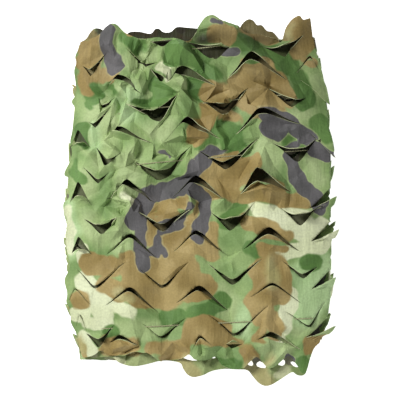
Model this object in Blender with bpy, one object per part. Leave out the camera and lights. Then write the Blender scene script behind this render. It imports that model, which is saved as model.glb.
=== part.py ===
"""A camouflage net folded into a flat pack.

One long cloth, cut right through with rows of arrow-shaped slits, is laid back and forth in six
layers and lies on a table. Fine cords are woven through the rows of slits of the layer on top: each
runs behind the bands of cloth and in front of the V-shaped tongues.

Metres, +Z up. The origin is under the middle of the pack, at table height. +Y is the pack's length.
"""

import math

import bpy
import bmesh
from mathutils import Vector
from mathutils.geometry import delaunay_2d_cdt

# The cloth and how it is folded.
LAYERS = 6
TOP = LAYERS - 1
CLOTH_THICKNESS = 0.0012
LAYER_WIDTH = 0.302
BEND_LENGTH = 0.0052
LAYER_PERIOD = LAYER_WIDTH + BEND_LENGTH
BEND_STEPS = 4
CLOTH_LOW_EDGE = -0.180
CLOTH_HIGH_EDGE = 0.186
LOWER_LAYERS_LOW_EDGE = -0.171
RISE_MIDDLE = 0.0064
RISE_EDGE = 0.0034
TOP_LAYER_EXTRA = 0.0032
RIDGE_HEIGHT = 0.0015

# The pattern of slits: V columns and upside-down V columns in turn, in rows.
HALF_PITCH = 0.040
ROW_PITCH = 0.0625
LOWEST_ROW = -0.159
ROWS = 6
FIRST_COLUMN = -3
V_ARMS = ((-0.0297, 0.0217), (0.0310, 0.0250))
PEAK_ARMS = ((-0.0250, -0.0220), (0.0350, -0.0270))
TIP_ROUNDING = 0.20
ROW_TILT_LOW = 0.048
ROW_TILT_HIGH = 0.105
COLUMN_LEAN = -0.095

# The fine cords.
CORD_DIAMETER = 0.0016
CORD_ABOVE_TIP = 0.0125
CORD_CLEARANCE = 0.0010
CORD_SPACING = 0.0065

# The pack's outline seen from above, a row for each height: y, left edge x, right edge x.
OUTLINE = (
    (-0.200, -0.134, 0.130),
    (-0.140, -0.141, 0.145),
    (-0.070, -0.150, 0.150),
    (0.000, -0.152, 0.148),
    (0.060, -0.149, 0.149),
    (0.120, -0.145, 0.147),
    (0.180, -0.139, 0.138),
    (0.210, -0.134, 0.130),
)

# How far each fold lies out of line, along the pack, from the cloth's hidden end to its end on top.
FOLD_SHIFT = (-0.004, 0.005, -0.005, 0.004, -0.004, 0.0, 0.0)

# How each slit of the top layer stands, lowest row first, columns from left to right:
# . shut, o a lens-shaped gap, w a wide gap, h a hole, u the tongue curls up, d the tongue hangs.
TOP_SLITS = (
    "o.d.dud",
    "oodoodo",
    "uodowwd",
    "uodwohd",
    "dwdwdwd",
    "ouowowd",
)
GAP = {"o": 0.0050, "w": 0.0100, "h": 0.0180, "u": 0.0110, "d": 0.0080}
LIFT = {"o": 0.0020, "w": 0.0060, "h": -0.0030, "u": 0.0120, "d": -0.0042}
V_DIP = -0.0058
FLANK_DIP = 0.92
LOWER_GAP = 0.0060

# Tongues that stick out where a fold runs through a peak: fold, first row, last row, how far.
SIDE_TONGUES = (
    (0, 0, 5, 0.004),
    (1, 1, 5, 0.003),
    (2, 0, 4, 0.006),
    (3, 0, 5, 0.004),
    (4, 0, 5, 0.010),
)

# Flaps along the cut edges: layer, x, how far they reach, half their width, how much they curl up.
LOW_FLAPS = (
    (5, -0.122, 0.004, 0.026, 0.002),
    (5, -0.038, 0.007, 0.034, 0.003),
    (5, 0.041, 0.012, 0.032, 0.005),
    (5, 0.122, 0.024, 0.024, 0.008),
    (4, -0.090, 0.014, 0.030, 0.000),
    (4, -0.006, 0.026, 0.038, 0.002),
    (4, 0.074, 0.037, 0.036, 0.004),
)
HIGH_FLAPS = (
    (5, -0.103, 0.022, 0.018, 0.009),
    (5, -0.050, 0.004, 0.026, 0.002),
    (5, 0.013, 0.021, 0.021, 0.011),
    (5, 0.053, 0.013, 0.018, 0.004),
    (5, 0.128, 0.015, 0.018, 0.012),
    (4, -0.070, 0.013, 0.030, 0.000),
    (4, 0.000, 0.010, 0.030, 0.000),
    (4, 0.090, 0.006, 0.030, 0.000),
)
# Slits through the second layer's low flaps: x, y, half the width, height.
EDGE_SLITS = (
    (-0.011, -0.1860, 0.0150, 0.0065),
    (0.077, -0.1900, 0.0190, 0.0080),
)

# Crumpled places of the top layer: x, y, half the width, half the height, how high.
CRUMPLES = (
    (-0.104, 0.118, 0.030, 0.016, 0.0060),
    (-0.066, 0.092, 0.024, 0.018, 0.0050),
    (-0.118, 0.052, 0.020, 0.024, 0.0050),
    (-0.070, 0.030, 0.026, 0.014, 0.0060),
    (-0.030, 0.128, 0.018, 0.026, 0.0045),
    (0.092, 0.012, 0.046, 0.010, 0.0070),
    (0.122, 0.070, 0.018, 0.030, 0.0040),
    (-0.118, -0.010, 0.022, 0.014, 0.0050),
    (0.020, -0.170, 0.040, 0.010, 0.0030),
)


def smooth(value, low, high):
    """0 below low, 1 above high, with a soft step between."""
    share = min(1.0, max(0.0, (value - low) / (high - low)))
    return share * share * (3.0 - 2.0 * share)


def outline_at(y):
    """The pack's left and right edge at this height, read from OUTLINE."""
    y = min(max(y, OUTLINE[0][0]), OUTLINE[-1][0])
    for below, above in zip(OUTLINE, OUTLINE[1:]):
        if y <= above[0]:
            share = (y - below[0]) / (above[0] - below[0])
            share = share * share * (3.0 - 2.0 * share)
            return (
                below[1] + (above[1] - below[1]) * share,
                below[2] + (above[2] - below[2]) * share,
            )
    return OUTLINE[-1][1:]


def layer_direction(layer):
    """+1 where the cloth runs from left to right, -1 where it comes back."""
    return -1.0 if (TOP - layer) % 2 == 0 else 1.0


def layer_height(layer, across, along):
    """Height of a layer's middle surface. The pack is full in the middle and thin at its edges."""
    fullness = (1.0 - min(1.0, abs(across)) ** 4) * (1.0 - 0.35 * min(1.0, abs(along) / 0.2) ** 4)
    rise = RISE_EDGE + (RISE_MIDDLE - RISE_EDGE) * fullness
    height = CLOTH_THICKNESS / 2 + layer * rise
    if layer == TOP:
        height += TOP_LAYER_EXTRA * (0.25 + 0.75 * smooth(1.0 - abs(across), 0.0, 0.18))
    return height


def top_relief(across_metres, along):
    """Ridges down the peak columns of the top layer, troughs down its V columns, and the crumpled places."""
    fade = smooth(0.2 - abs(along), 0.0, 0.05)
    height = RIDGE_HEIGHT * math.cos(math.pi * across_metres / HALF_PITCH) * fade
    for x, y, half_width, half_height, rise in CRUMPLES:
        away = ((across_metres - x) / half_width) ** 2 + ((along - y) / half_height) ** 2
        height += rise * math.exp(-away)
    return height


def fold_shift(distance):
    """How far the cloth lies out of line along the pack, read from FOLD_SHIFT."""
    place = min(max(distance / LAYER_PERIOD, 0.0), LAYERS - 1e-6)
    fold = int(place)
    return FOLD_SHIFT[fold] + (FOLD_SHIFT[fold + 1] - FOLD_SHIFT[fold]) * (place - fold)


def distance_at(layer, x_flat):
    """Distance along the cloth of a place on a layer, from its flat x."""
    return layer * LAYER_PERIOD + LAYER_WIDTH / 2 + layer_direction(layer) * x_flat


def laid(distance, along):
    """The place in the pack of a point of the flat cloth."""
    layer = min(TOP, max(0, int(distance // LAYER_PERIOD)))
    inside = distance - layer * LAYER_PERIOD
    direction = layer_direction(layer)
    across = direction * min(1.0, (inside - LAYER_WIDTH / 2) / (LAYER_WIDTH / 2))
    flat_x = across * LAYER_WIDTH / 2
    tilt = ROW_TILT_LOW + (ROW_TILT_HIGH - ROW_TILT_LOW) * smooth(along, -0.02, 0.09)
    y = along + fold_shift(distance) + tilt * flat_x
    left, right = outline_at(y)
    x = (left + right) / 2 + across * (right - left) / 2
    height = layer_height(layer, across, along)
    if inside <= LAYER_WIDTH:
        if layer == TOP:
            flat_top = 1.0 - abs(across) ** 3
            x += COLUMN_LEAN * (along - LOWEST_ROW) * smooth(across, -0.8, -0.2) * flat_top
            height += top_relief(flat_x, along) * flat_top
        return Vector((x, y, height))
    turn = math.pi * (inside - LAYER_WIDTH) / BEND_LENGTH
    above = layer_height(layer + 1, across, along)
    radius = (above - height) / 2
    return Vector((x + direction * radius * math.sin(turn), y, height + radius * (1.0 - math.cos(turn))))


class FlatCloth:
    """The flat cutting pattern: points, how far each is moved once the cloth is laid, and the cut-outs."""

    def __init__(self):
        self.points = []
        self.moves = []
        self.edges = []
        self.outlines = []

    def add_point(self, distance, along, up=0.0, out=0.0):
        self.points.append(Vector((distance, along)))
        self.moves.append(Vector((out, 0.0, up)))

    def add_outline(self, ring):
        """A closed outline of (distance, along, up, out) points."""
        first = len(self.points)
        for distance, along, up, out in ring:
            self.add_point(distance, along, up, out)
        count = len(ring)
        self.edges += [(first + i, first + (i + 1) % count) for i in range(count)]
        self.outlines.append([(p[0], p[1]) for p in ring])


def inside_ring(ring, x, y):
    """Whether a point of the flat cloth lies inside a ring."""
    found = False
    for (ax, ay), (bx, by) in zip(ring, ring[1:] + ring[:1]):
        if (ay > y) != (by > y) and x < (bx - ax) * (y - ay) / (by - ay) + ax:
            found = not found
    return found


def slit_ring(place, arms, gap, lift, out=0.0):
    """The cut-out of one opened slit: its band side, then its tongue side drawn back by the gap.

    place(dx, dy) gives a flat point from an offset to the slit's tip.
    """
    (left_x, left_y), (right_x, right_y) = arms
    toward = math.copysign(gap, left_y)
    shoulder = TIP_ROUNDING
    flank = 0.55
    flank_lift = lift * (0.5 if lift > 0.0 else FLANK_DIP)
    band = [
        (left_x, left_y),
        (left_x * shoulder, left_y * shoulder * 0.6),
        (right_x * shoulder, right_y * shoulder * 0.6),
        (right_x, right_y),
    ]
    tongue = [
        (right_x * flank, right_y * flank + toward * 0.5, flank_lift, out * 0.4),
        (right_x * shoulder, right_y * shoulder * 0.6 + toward, lift, out),
        (left_x * shoulder, left_y * shoulder * 0.6 + toward, lift, out),
        (left_x * flank, left_y * flank + toward * 0.5, flank_lift, out * 0.4),
    ]
    ring = [(*place(dx, dy), 0.0, 0.0) for dx, dy in band]
    return ring + [(*place(dx, dy), up, outward) for dx, dy, up, outward in tongue]


def add_top_slits(cloth):
    """The top layer's slits, each as TOP_SLITS has it."""
    for row, states in enumerate(TOP_SLITS):
        for number, state in enumerate(states):
            column = FIRST_COLUMN + number
            is_v = column % 2 != 0
            arms = V_ARMS if is_v else PEAK_ARMS
            tip_x = column * HALF_PITCH
            tip_y = LOWEST_ROW + row * ROW_PITCH

            def place(dx, dy):
                return distance_at(TOP, tip_x + dx), tip_y + dy

            if state == ".":
                cloth.add_point(*place(0.0, 0.0))
                continue
            holds_cord = is_v and state != "u"
            lift = V_DIP if holds_cord else LIFT[state]
            cloth.add_outline(slit_ring(place, arms, GAP[state], lift))
            if holds_cord:
                for dx in (-0.007, 0.0, 0.007):
                    cloth.add_point(*place(dx, CORD_ABOVE_TIP), lift * FLANK_DIP)
            elif state != "h":
                cloth.add_point(*place(0.0, arms[0][1] * 0.7), lift * 0.35)


def add_lower_slits(cloth):
    """The V slits of the layers below, which show as gaps of one size."""
    margin = 0.055
    first = distance_at(TOP, HALF_PITCH)
    pitch = 2 * HALF_PITCH
    for number in range(-int(first // pitch), 4):
        distance = first + number * pitch
        layer = int(distance // LAYER_PERIOD)
        inside = distance - layer * LAYER_PERIOD
        if layer >= TOP or layer < 0 or not margin < inside < LAYER_WIDTH - margin:
            continue
        for row in range(ROWS - 1):
            y = LOWEST_ROW + row * ROW_PITCH + 0.012

            def place(dx, dy):
                return distance + dx, y + dy

            cloth.add_outline(slit_ring(place, V_ARMS, LOWER_GAP, 0.0))


def add_side_tongues(cloth):
    """Slits across the folds. The cloth below each slit sticks out of the pack's side as a tongue."""
    for fold, first_row, last_row, reach in SIDE_TONGUES:
        distance = fold * LAYER_PERIOD + LAYER_WIDTH + BEND_LENGTH / 2
        out = reach * layer_direction(fold)
        for row in range(first_row, last_row + 1):
            y = LOWEST_ROW + row * ROW_PITCH + 0.008 * math.sin(2.4 * row + fold)
            y = max(y, CLOTH_LOW_EDGE + 0.043)

            def place(dx, dy):
                return distance + dx, y + dy

            arms = ((-0.0230, -0.0220), (0.0230, -0.0220))
            uneven = 1.0 + 0.35 * math.sin(1.7 * row + 2.0 * fold)
            cloth.add_outline(slit_ring(place, arms, 0.0060, 0.0, out * uneven))


def add_edge_slits(cloth):
    """Slits through the second layer's low flaps, with nothing behind them."""
    for x, y, half_width, height in EDGE_SLITS:
        ring = [(-half_width, 0.0), (0.0, -height), (half_width, 0.0), (0.0, 0.1 * height)]
        cloth.add_outline([(distance_at(TOP - 1, x + dx), y + dy, 0.0, 0.0) for dx, dy in ring])


def end_edge(layer, flat_x, flaps):
    """How far the cut edge reaches past its plain line here, and how much it curls up."""
    reach, curl = 0.0, 0.0
    for flap_layer, x, flap_reach, half_width, flap_curl in flaps:
        away = abs(flat_x - x) / half_width
        if flap_layer == layer and away < 1.0:
            shape = math.cos(away * math.pi / 2) ** 1.3
            reach = max(reach, flap_reach * shape)
            curl = max(curl, flap_curl * shape)
    return reach, curl


def add_edges(cloth):
    """The outer outline of the flat cloth: scalloped flaps along both long edges."""
    low, high = [], []
    for layer in range(LAYERS):
        start = layer * LAYER_PERIOD
        shown = layer >= TOP - 1
        steps = 36 if shown else 16
        low_base = CLOTH_LOW_EDGE if shown else LOWER_LAYERS_LOW_EDGE
        for step in range(steps + 1):
            distance = start + LAYER_WIDTH * step / steps
            flat_x = layer_direction(layer) * (LAYER_WIDTH * step / steps - LAYER_WIDTH / 2)
            if shown:
                low_reach, low_curl = end_edge(layer, flat_x, LOW_FLAPS)
                high_reach, high_curl = end_edge(layer, flat_x, HIGH_FLAPS)
            else:
                fade = 1.0 - (2.0 * step / steps - 1.0) ** 8
                wave = max(0.0, math.sin(math.pi * distance / HALF_PITCH)) * fade
                low_reach, low_curl = 0.004 * wave, 0.0
                high_reach, high_curl = 0.008 * wave, 0.0
            low.append((distance, low_base - low_reach, low_curl, 0.0))
            high.append((distance, CLOTH_HIGH_EDGE + high_reach, high_curl, 0.0))
        if layer == TOP:
            continue
        low_next = CLOTH_LOW_EDGE if layer + 1 >= TOP - 1 else LOWER_LAYERS_LOW_EDGE
        for step in range(1, BEND_STEPS):
            share = step / BEND_STEPS
            distance = start + LAYER_WIDTH + BEND_LENGTH * share
            low.append((distance, low_base + (low_next - low_base) * share, 0.0, 0.0))
            high.append((distance, CLOTH_HIGH_EDGE, 0.0, 0.0))
    cloth.add_outline(low + high[::-1])


def add_folds(cloth):
    """Lines of points along each fold and near it, so that the bends and shoulders are round."""
    rows = 12
    for layer in range(LAYERS):
        shoulders = (0.03, 0.97) if layer == TOP else (0.03, 0.10, 0.90, 0.97)
        insides = [LAYER_WIDTH * share for share in shoulders]
        if layer < TOP:
            insides += [LAYER_WIDTH + BEND_LENGTH * step / BEND_STEPS for step in range(BEND_STEPS)]
        if layer > 0:
            insides.append(0.0)
        for inside in insides:
            for row in range(1, rows):
                along = LOWER_LAYERS_LOW_EDGE + (CLOTH_HIGH_EDGE - LOWER_LAYERS_LOW_EDGE) * row / rows
                cloth.add_point(layer * LAYER_PERIOD + inside, along)


def add_crumples(cloth):
    """A crest and a ring of points for each crumpled place."""
    for x, y, half_width, half_height, _ in CRUMPLES:
        cloth.add_point(distance_at(TOP, x), y)
        for dx, dy in ((-1, 0), (1, 0), (0, -1), (0, 1)):
            cloth.add_point(distance_at(TOP, x + 0.8 * half_width * dx), y + 0.8 * half_height * dy)


def add_cord_lines(cloth):
    """Points where the bands of the top layer cross the cords, so that the bands clear them all the way."""
    for row in range(ROWS):
        y = LOWEST_ROW + row * ROW_PITCH + CORD_ABOVE_TIP
        for half in range(2 * FIRST_COLUMN - 1, -2 * FIRST_COLUMN + 2):
            column = half / 2
            if abs(column % 2 - 1.0) > 0.4:
                cloth.add_point(distance_at(TOP, column * HALF_PITCH), y)


def in_a_ring(rings, x, y):
    return any(
        low_x < x < high_x and low_y < y < high_y and inside_ring(ring, x, y)
        for ring, low_x, high_x, low_y, high_y in rings
    )


def make_cloth():
    """The whole cloth as one solid: the flat pattern is filled with triangles, laid in folds and thickened."""
    cloth = FlatCloth()
    add_edges(cloth)
    add_top_slits(cloth)
    add_lower_slits(cloth)
    add_side_tongues(cloth)
    add_edge_slits(cloth)
    rings = []
    for ring in cloth.outlines[1:]:
        xs, ys = zip(*ring)
        rings.append((ring, min(xs), max(xs), min(ys), max(ys)))
    outside = cloth.outlines[0]
    fold_points = FlatCloth()
    add_folds(fold_points)
    add_crumples(fold_points)
    add_cord_lines(fold_points)
    for point in fold_points.points:
        if not in_a_ring(rings, point.x, point.y):
            cloth.add_point(point.x, point.y)

    made = delaunay_2d_cdt(cloth.points, cloth.edges, [], 0, 1e-6)
    coordinates, faces, sources = made[0], made[2], made[3]
    mesh = bpy.data.meshes.new("net_cloth")
    shape = bmesh.new()
    corners = []
    for point, source in zip(coordinates, sources):
        move = cloth.moves[source[0]] if source else Vector()
        corners.append(shape.verts.new(laid(point.x, point.y) + move))
    for face in faces:
        middle = sum((coordinates[i] for i in face), Vector((0.0, 0.0))) / 3
        if inside_ring(outside, middle.x, middle.y) and not in_a_ring(rings, middle.x, middle.y):
            shape.faces.new([corners[i] for i in face])
    loose = [corner for corner in shape.verts if not corner.link_faces]
    bmesh.ops.delete(shape, geom=loose, context="VERTS")
    shape.to_mesh(mesh)
    shape.free()
    cloth_object = bpy.data.objects.new("net_cloth", mesh)
    bpy.context.collection.objects.link(cloth_object)
    thicken = cloth_object.modifiers.new("thickness", "SOLIDIFY")
    thicken.thickness = CLOTH_THICKNESS
    thicken.offset = 0.0
    thicken.use_quality_normals = True
    return cloth_object


def make_cord(row):
    """One fine cord behind the bands of a row of slits, from fold to fold."""
    y = LOWEST_ROW + row * ROW_PITCH + CORD_ABOVE_TIP
    reach = LAYER_WIDTH / 2 - 0.016
    steps = int(2 * reach / CORD_SPACING)
    below = CLOTH_THICKNESS / 2 + CORD_CLEARANCE + CORD_DIAMETER / 2
    points = [laid(distance_at(TOP, -reach + 2 * reach * step / steps), y) for step in range(steps + 1)]
    curve = bpy.data.curves.new(f"net_cord_{row + 1}", "CURVE")
    curve.dimensions = "3D"
    curve.bevel_depth = CORD_DIAMETER / 2
    curve.bevel_resolution = 2
    curve.use_fill_caps = True
    spline = curve.splines.new("POLY")
    spline.points.add(len(points) - 1)
    for spot, point in zip(spline.points, points):
        spot.co = (point.x, point.y, point.z - below, 1.0)
    cord = bpy.data.objects.new(f"net_cord_{row + 1}", curve)
    bpy.context.collection.objects.link(cord)
    return cord


def material(name, colour, roughness):
    made = bpy.data.materials.new(name)
    made.use_nodes = True
    shader = made.node_tree.nodes["Principled BSDF"]
    shader.inputs["Base Color"].default_value = (*colour, 1.0)
    shader.inputs["Roughness"].default_value = roughness
    return made


def centre_on_origin(objects):
    """Slide everything so that the middle of the cloth's box is over the origin."""
    bpy.context.view_layer.update()
    box = objects[0].evaluated_get(bpy.context.evaluated_depsgraph_get()).bound_box
    low = Vector(min(corner[axis] for corner in box) for axis in range(3))
    high = Vector(max(corner[axis] for corner in box) for axis in range(3))
    for each in objects:
        each.location = (-(low.x + high.x) / 2, -(low.y + high.y) / 2, 0.0)


def main():
    for old in list(bpy.data.objects):
        bpy.data.objects.remove(old, do_unlink=True)
    cloth = make_cloth()
    cloth.data.materials.append(material("camouflage_cloth", (0.25, 0.34, 0.16), 0.5))
    cord_finish = material("net_cord", (0.20, 0.20, 0.12), 0.8)
    cords = [make_cord(row) for row in range(ROWS)]
    for cord in cords:
        cord.data.materials.append(cord_finish)
    centre_on_origin([cloth] + cords)


main()
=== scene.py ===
"""A camouflage net folded into a flat pack and laid on a pale floor."""

import math

import bmesh
import bpy
import numpy as np
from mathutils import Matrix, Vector
from mathutils.bvhtree import BVHTree
from mathutils.geometry import delaunay_2d_cdt


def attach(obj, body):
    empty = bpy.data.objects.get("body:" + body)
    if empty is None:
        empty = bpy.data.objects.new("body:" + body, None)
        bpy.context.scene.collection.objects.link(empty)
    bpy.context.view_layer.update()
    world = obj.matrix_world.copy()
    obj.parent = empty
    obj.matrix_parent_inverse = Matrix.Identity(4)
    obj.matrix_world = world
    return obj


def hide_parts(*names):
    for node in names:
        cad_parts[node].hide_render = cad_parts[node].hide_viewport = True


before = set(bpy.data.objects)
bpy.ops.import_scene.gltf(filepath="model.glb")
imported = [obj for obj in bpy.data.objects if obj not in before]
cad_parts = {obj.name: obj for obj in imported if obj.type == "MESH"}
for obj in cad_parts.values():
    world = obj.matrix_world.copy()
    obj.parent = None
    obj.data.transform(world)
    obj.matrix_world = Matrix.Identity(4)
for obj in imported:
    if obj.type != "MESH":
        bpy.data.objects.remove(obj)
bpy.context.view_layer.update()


# The camouflage cloth: one long sheet of thin printed polyester. Rows of arrow-shaped slits are
# punched through it, V columns and upside-down V columns in turn, so that it hangs in zigzag bands
# with a tongue at each slit. It is folded back and forth in six layers, and nothing is sewn on it.
LAYERS = 6
TOP = LAYERS - 1
LAYER_WIDTH = 0.302
BEND_LENGTH = 0.0052
BEND_STEPS = 4
LAYER_PERIOD = LAYER_WIDTH + BEND_LENGTH
CLOTH_LENGTH = TOP * LAYER_PERIOD + LAYER_WIDTH
CLOTH_THICKNESS = 0.0006
CLOTH_LOW_EDGE = -0.180
HALF_PITCH = 0.040
ROW_PITCH = 0.0625
LOWEST_ROW = -0.159
ROWS = 6
# How much each layer rises in the pack's middle and at its edges, and how much more the top one does.
# Less of it is left towards the low and high ends.
RISE_MIDDLE = 0.0064
RISE_EDGE = 0.0034
TOP_LAYER_EXTRA = 0.0032
EXTRA_AT_EDGES = 0.25
EDGE_PART = 0.18
ENDS_FALL = 0.35
ENDS_AT = 0.2
# The pack leans to one side, more so above its middle, and the top layer is pulled askew.
LEAN = 0.048
MORE_LEAN_ABOVE = 0.057
MORE_LEAN_RANGE = (-0.02, 0.09)
TOP_SKEW = 0.060
SKEW_RANGE = (-0.8, -0.2)
PACK_SHIFT = (-0.00214, 0.0001)
FOLD_SHIFT = (-0.004, 0.005, -0.005, 0.004, -0.004, 0.0, 0.0)
# Seen from above, the pack's left and right edge at each height: y, left x, right x.
OUTLINE = (
    (-0.200, -0.134, 0.130),
    (-0.165, -0.137, 0.138),
    (-0.145, -0.142, 0.144),
    (-0.110, -0.149, 0.149),
    (-0.060, -0.151, 0.150),
    (0.000, -0.151, 0.149),
    (0.060, -0.146, 0.149),
    (0.100, -0.142, 0.146),
    (0.120, -0.1405, 0.1435),
    (0.145, -0.140, 0.140),
    (0.165, -0.139, 0.135),
    (0.185, -0.136, 0.131),
    (0.210, -0.132, 0.128),
)
# Some places are given as they are seen from above, in 400ths of the picture, from its top left. To
# find them on the flat cloth, their difference is taken off step by step.
PICTURE_MIDDLE = (199.0, 201.0)
PICTURE_STEP = 0.001143
FREE_END_REACH = 0.012
CLEAR_OF_BEND = 0.0002
FIT_TURNS = 40
FIT_SHARE = 0.8


def smooth(value, low, high):
    """A soft step, from 0 at low to 1 at high."""
    share = np.clip((value - low) / (high - low), 0.0, 1.0)
    return share * share * (3.0 - 2.0 * share)


def layer_direction(layer):
    """1 where a layer runs to the right, and -1 where it runs to the left, as the top one does."""
    return np.where((TOP - layer) % 2 == 0, -1.0, 1.0)


def distance_at(layer, flat_x):
    """How far along the flat cloth a place across a layer is."""
    return layer * LAYER_PERIOD + LAYER_WIDTH / 2 + float(layer_direction(layer)) * flat_x


def layer_height(layer, across, along):
    """Height of a layer's middle surface. The pack is full in the middle and thin at its edges."""
    thin_ends = 1.0 - ENDS_FALL * np.minimum(1.0, abs(along) / ENDS_AT) ** 4
    fullness = (1.0 - np.minimum(1.0, abs(across)) ** 4) * thin_ends
    rise = RISE_EDGE + (RISE_MIDDLE - RISE_EDGE) * fullness
    extra = EXTRA_AT_EDGES + (1.0 - EXTRA_AT_EDGES) * smooth(1.0 - abs(across), 0.0, EDGE_PART)
    return CLOTH_THICKNESS + layer * rise + np.where(layer == TOP, TOP_LAYER_EXTRA * extra, 0.0)


def laid(distance, along):
    """Where points of the flat cloth lie in the pack, before tongues and crumples."""
    layer = np.clip(distance // LAYER_PERIOD, 0, TOP)
    beyond_fold = distance - layer * LAYER_PERIOD
    direction = layer_direction(layer)
    across = direction * np.minimum(1.0, (beyond_fold - LAYER_WIDTH / 2) / (LAYER_WIDTH / 2))
    flat_x = across * LAYER_WIDTH / 2
    lean = LEAN + MORE_LEAN_ABOVE * smooth(along, *MORE_LEAN_RANGE)
    y = along + np.interp(distance / LAYER_PERIOD, range(LAYERS + 1), FOLD_SHIFT) + lean * flat_x
    heights, lefts, rights = zip(*OUTLINE)
    left, right = np.interp(y, heights, lefts), np.interp(y, heights, rights)
    x = (left + right) / 2 + across * (right - left) / 2
    on_top = layer == TOP
    flat_top = np.where(on_top, 1.0 - abs(across) ** 3, 0.0)
    x = x - TOP_SKEW * (along - LOWEST_ROW) * smooth(across, *SKEW_RANGE) * flat_top
    z = layer_height(layer, across, along)
    past_width = np.maximum(0.0, beyond_fold - LAYER_WIDTH)
    turn = np.pi * past_width / BEND_LENGTH
    radius = (layer_height(layer + 1, across, along) - z) / 2
    bent = (turn > 0.0) & (layer < TOP)
    x = np.where(bent, x + direction * radius * np.sin(turn), x)
    x = x + direction * np.where(on_top, past_width, 0.0)
    z = np.where(bent, z + radius * (1.0 - np.cos(turn)), z)
    return np.stack([x + PACK_SHIFT[0], y + PACK_SHIFT[1], z], axis=1), layer, flat_x


def flat_spots(layer, seen):
    """Where points of the picture lie on the flat cloth of this layer."""
    wanted = (np.array(seen, float) - PICTURE_MIDDLE) * (PICTURE_STEP, -PICTURE_STEP) + PACK_SHIFT
    flat_x, along = wanted[:, 0], wanted[:, 1]
    right_end = LAYER_WIDTH / 2 - CLEAR_OF_BEND
    left_end = -right_end - (FREE_END_REACH if layer == TOP else 0.0)
    for _ in range(FIT_TURNS):
        places = laid(distance_at(layer, flat_x), along)[0]
        flat_x = np.clip(flat_x - FIT_SHARE * (places[:, 0] - wanted[:, 0]), left_end, right_end)
        along = along - FIT_SHARE * (places[:, 1] - wanted[:, 1])
    return np.stack([distance_at(layer, flat_x), along], axis=1)


# The slits of the top layer, in 400ths of the picture, from the lowest row up and from left to right:
# left end, tip and right end, then how its tongue stands: how far the tip turns up (down if minus) in
# tenths of a radian, draws back in millimetres and sways left in millimetres.
TOP_SLITS = (
    ((76, 327), (80, 315), (87, 332), 2, 1, 0), ((86, 334), (98, 349), (114, 325), 8, 9, -3),
    ((107, 345), (119, 335), (139, 344), 4, 4, 0), ((140, 322), (163, 338), (186, 317), 3, 2, 2),
    ((191, 349), (202, 337), (214, 346), 3, 2, 0), ((208, 314), (235, 335), (269, 304), 3, 3, 0),
    ((226, 342), (234, 350), (242, 342), 13, 9, 0), ((256, 340), (270, 331), (301, 350), 4, 5, 2),
    ((285, 311), (310, 327), (326, 302), 3, 2, 1), ((69, 301), (75, 289), (92, 306), 1, 1, 0),
    ((76, 269), (95, 288), (125, 262), 2, 3, 0), ((105, 306), (131, 287), (160, 313), 3, 4, 1),
    ((140, 268), (163, 288), (191, 261), 3, 3, 0), ((176, 304), (200, 285), (230, 311), 3, 5, 1),
    ((208, 264), (233, 284), (262, 258), 4, 6, 0), ((250, 297), (273, 283), (302, 304), 2, 2, 0),
    ((282, 261), (304, 278), (318, 267), 4, 5, 3), ((71, 254), (77, 238), (92, 255), 14, 9, -4),
    ((83, 220), (101, 236), (116, 214), 8, 9, 3), ((108, 254), (131, 233), (158, 259), 3, 4, 1),
    ((140, 213), (163, 232), (190, 206), 5, 8, 0), ((173, 251), (196, 231), (230, 257), 3, 4, 1),
    ((212, 213), (230, 231), (256, 203), 20, 3, -3), ((243, 250), (268, 228), (301, 252), 4, 7, 0),
    ((281, 206), (301, 225), (322, 202), 20, 2, 0), ((69, 203), (78, 182), (92, 204), 13, 9, -4),
    ((84, 167), (98, 181), (108, 172), 5, 4, 1), ((94, 148), (107, 167), (122, 153), 7, 6, -2),
    ((104, 200), (131, 182), (157, 206), 5, 5, 3), ((133, 159), (159, 179), (189, 149), 7, 9, 0),
    ((170, 198), (196, 177), (222, 201), 5, 7, 3), ((200, 154), (227, 171), (257, 137), 6, 7, 2),
    ((240, 192), (259, 168), (293, 191), 10, 12, 0), ((272, 142), (297, 163), (320, 136), 14, 8, 0),
    ((70, 147), (77, 130), (90, 147), 14, 9, -4), ((87, 121), (96, 129), (110, 108), 6, 4, 0),
    ((97, 96), (105, 110), (119, 99), 5, 3, 1), ((104, 144), (121, 124), (153, 147), 5, 3, 6),
    ((129, 104), (156, 120), (177, 96), 8, 10, 7), ((165, 140), (188, 117), (221, 142), 5, 6, 4),
    ((198, 98), (221, 116), (248, 87), 8, 10, 0), ((232, 133), (260, 108), (303, 125), 4, 6, 0),
    ((266, 90), (291, 107), (307, 97), 7, 8, 0), ((82, 66), (91, 77), (107, 52), 6, 7, -2),
    ((100, 93), (118, 76), (143, 91), 4, 5, 3), ((123, 50), (145, 65), (157, 60), 4, 3, 0),
    ((151, 65), (161, 82), (169, 74), 7, 4, -2), ((165, 79), (184, 64), (215, 87), 8, 9, 1),
    ((190, 41), (216, 60), (231, 46), 15, 13, -4), ((227, 79), (251, 54), (286, 80), 6, 8, 0),
    ((265, 45), (283, 56), (303, 34), 16, 7, 0), ((297, 73), (311, 55), (322, 72), 4, 3, 0),
    ((147, 42), (160, 49), (173, 41), 6, 6, 0),
)
TOP_SLIT_STEPS = 13
LOWER_SLIT_STEPS = 9
SLIT_ROUNDING = 0.16
SLIT_BULGE = 0.12


def slit_shape(share):
    """How a slit falls from its tip (0) to its end (1): a rounded tip, then a nearly straight arm."""
    fall = np.sqrt(share**2 + SLIT_ROUNDING**2) - SLIT_ROUNDING
    fall = fall / (math.sqrt(1.0 + SLIT_ROUNDING**2) - SLIT_ROUNDING)
    return fall * (1.0 + SLIT_BULGE - SLIT_BULGE * share**3)


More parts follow.
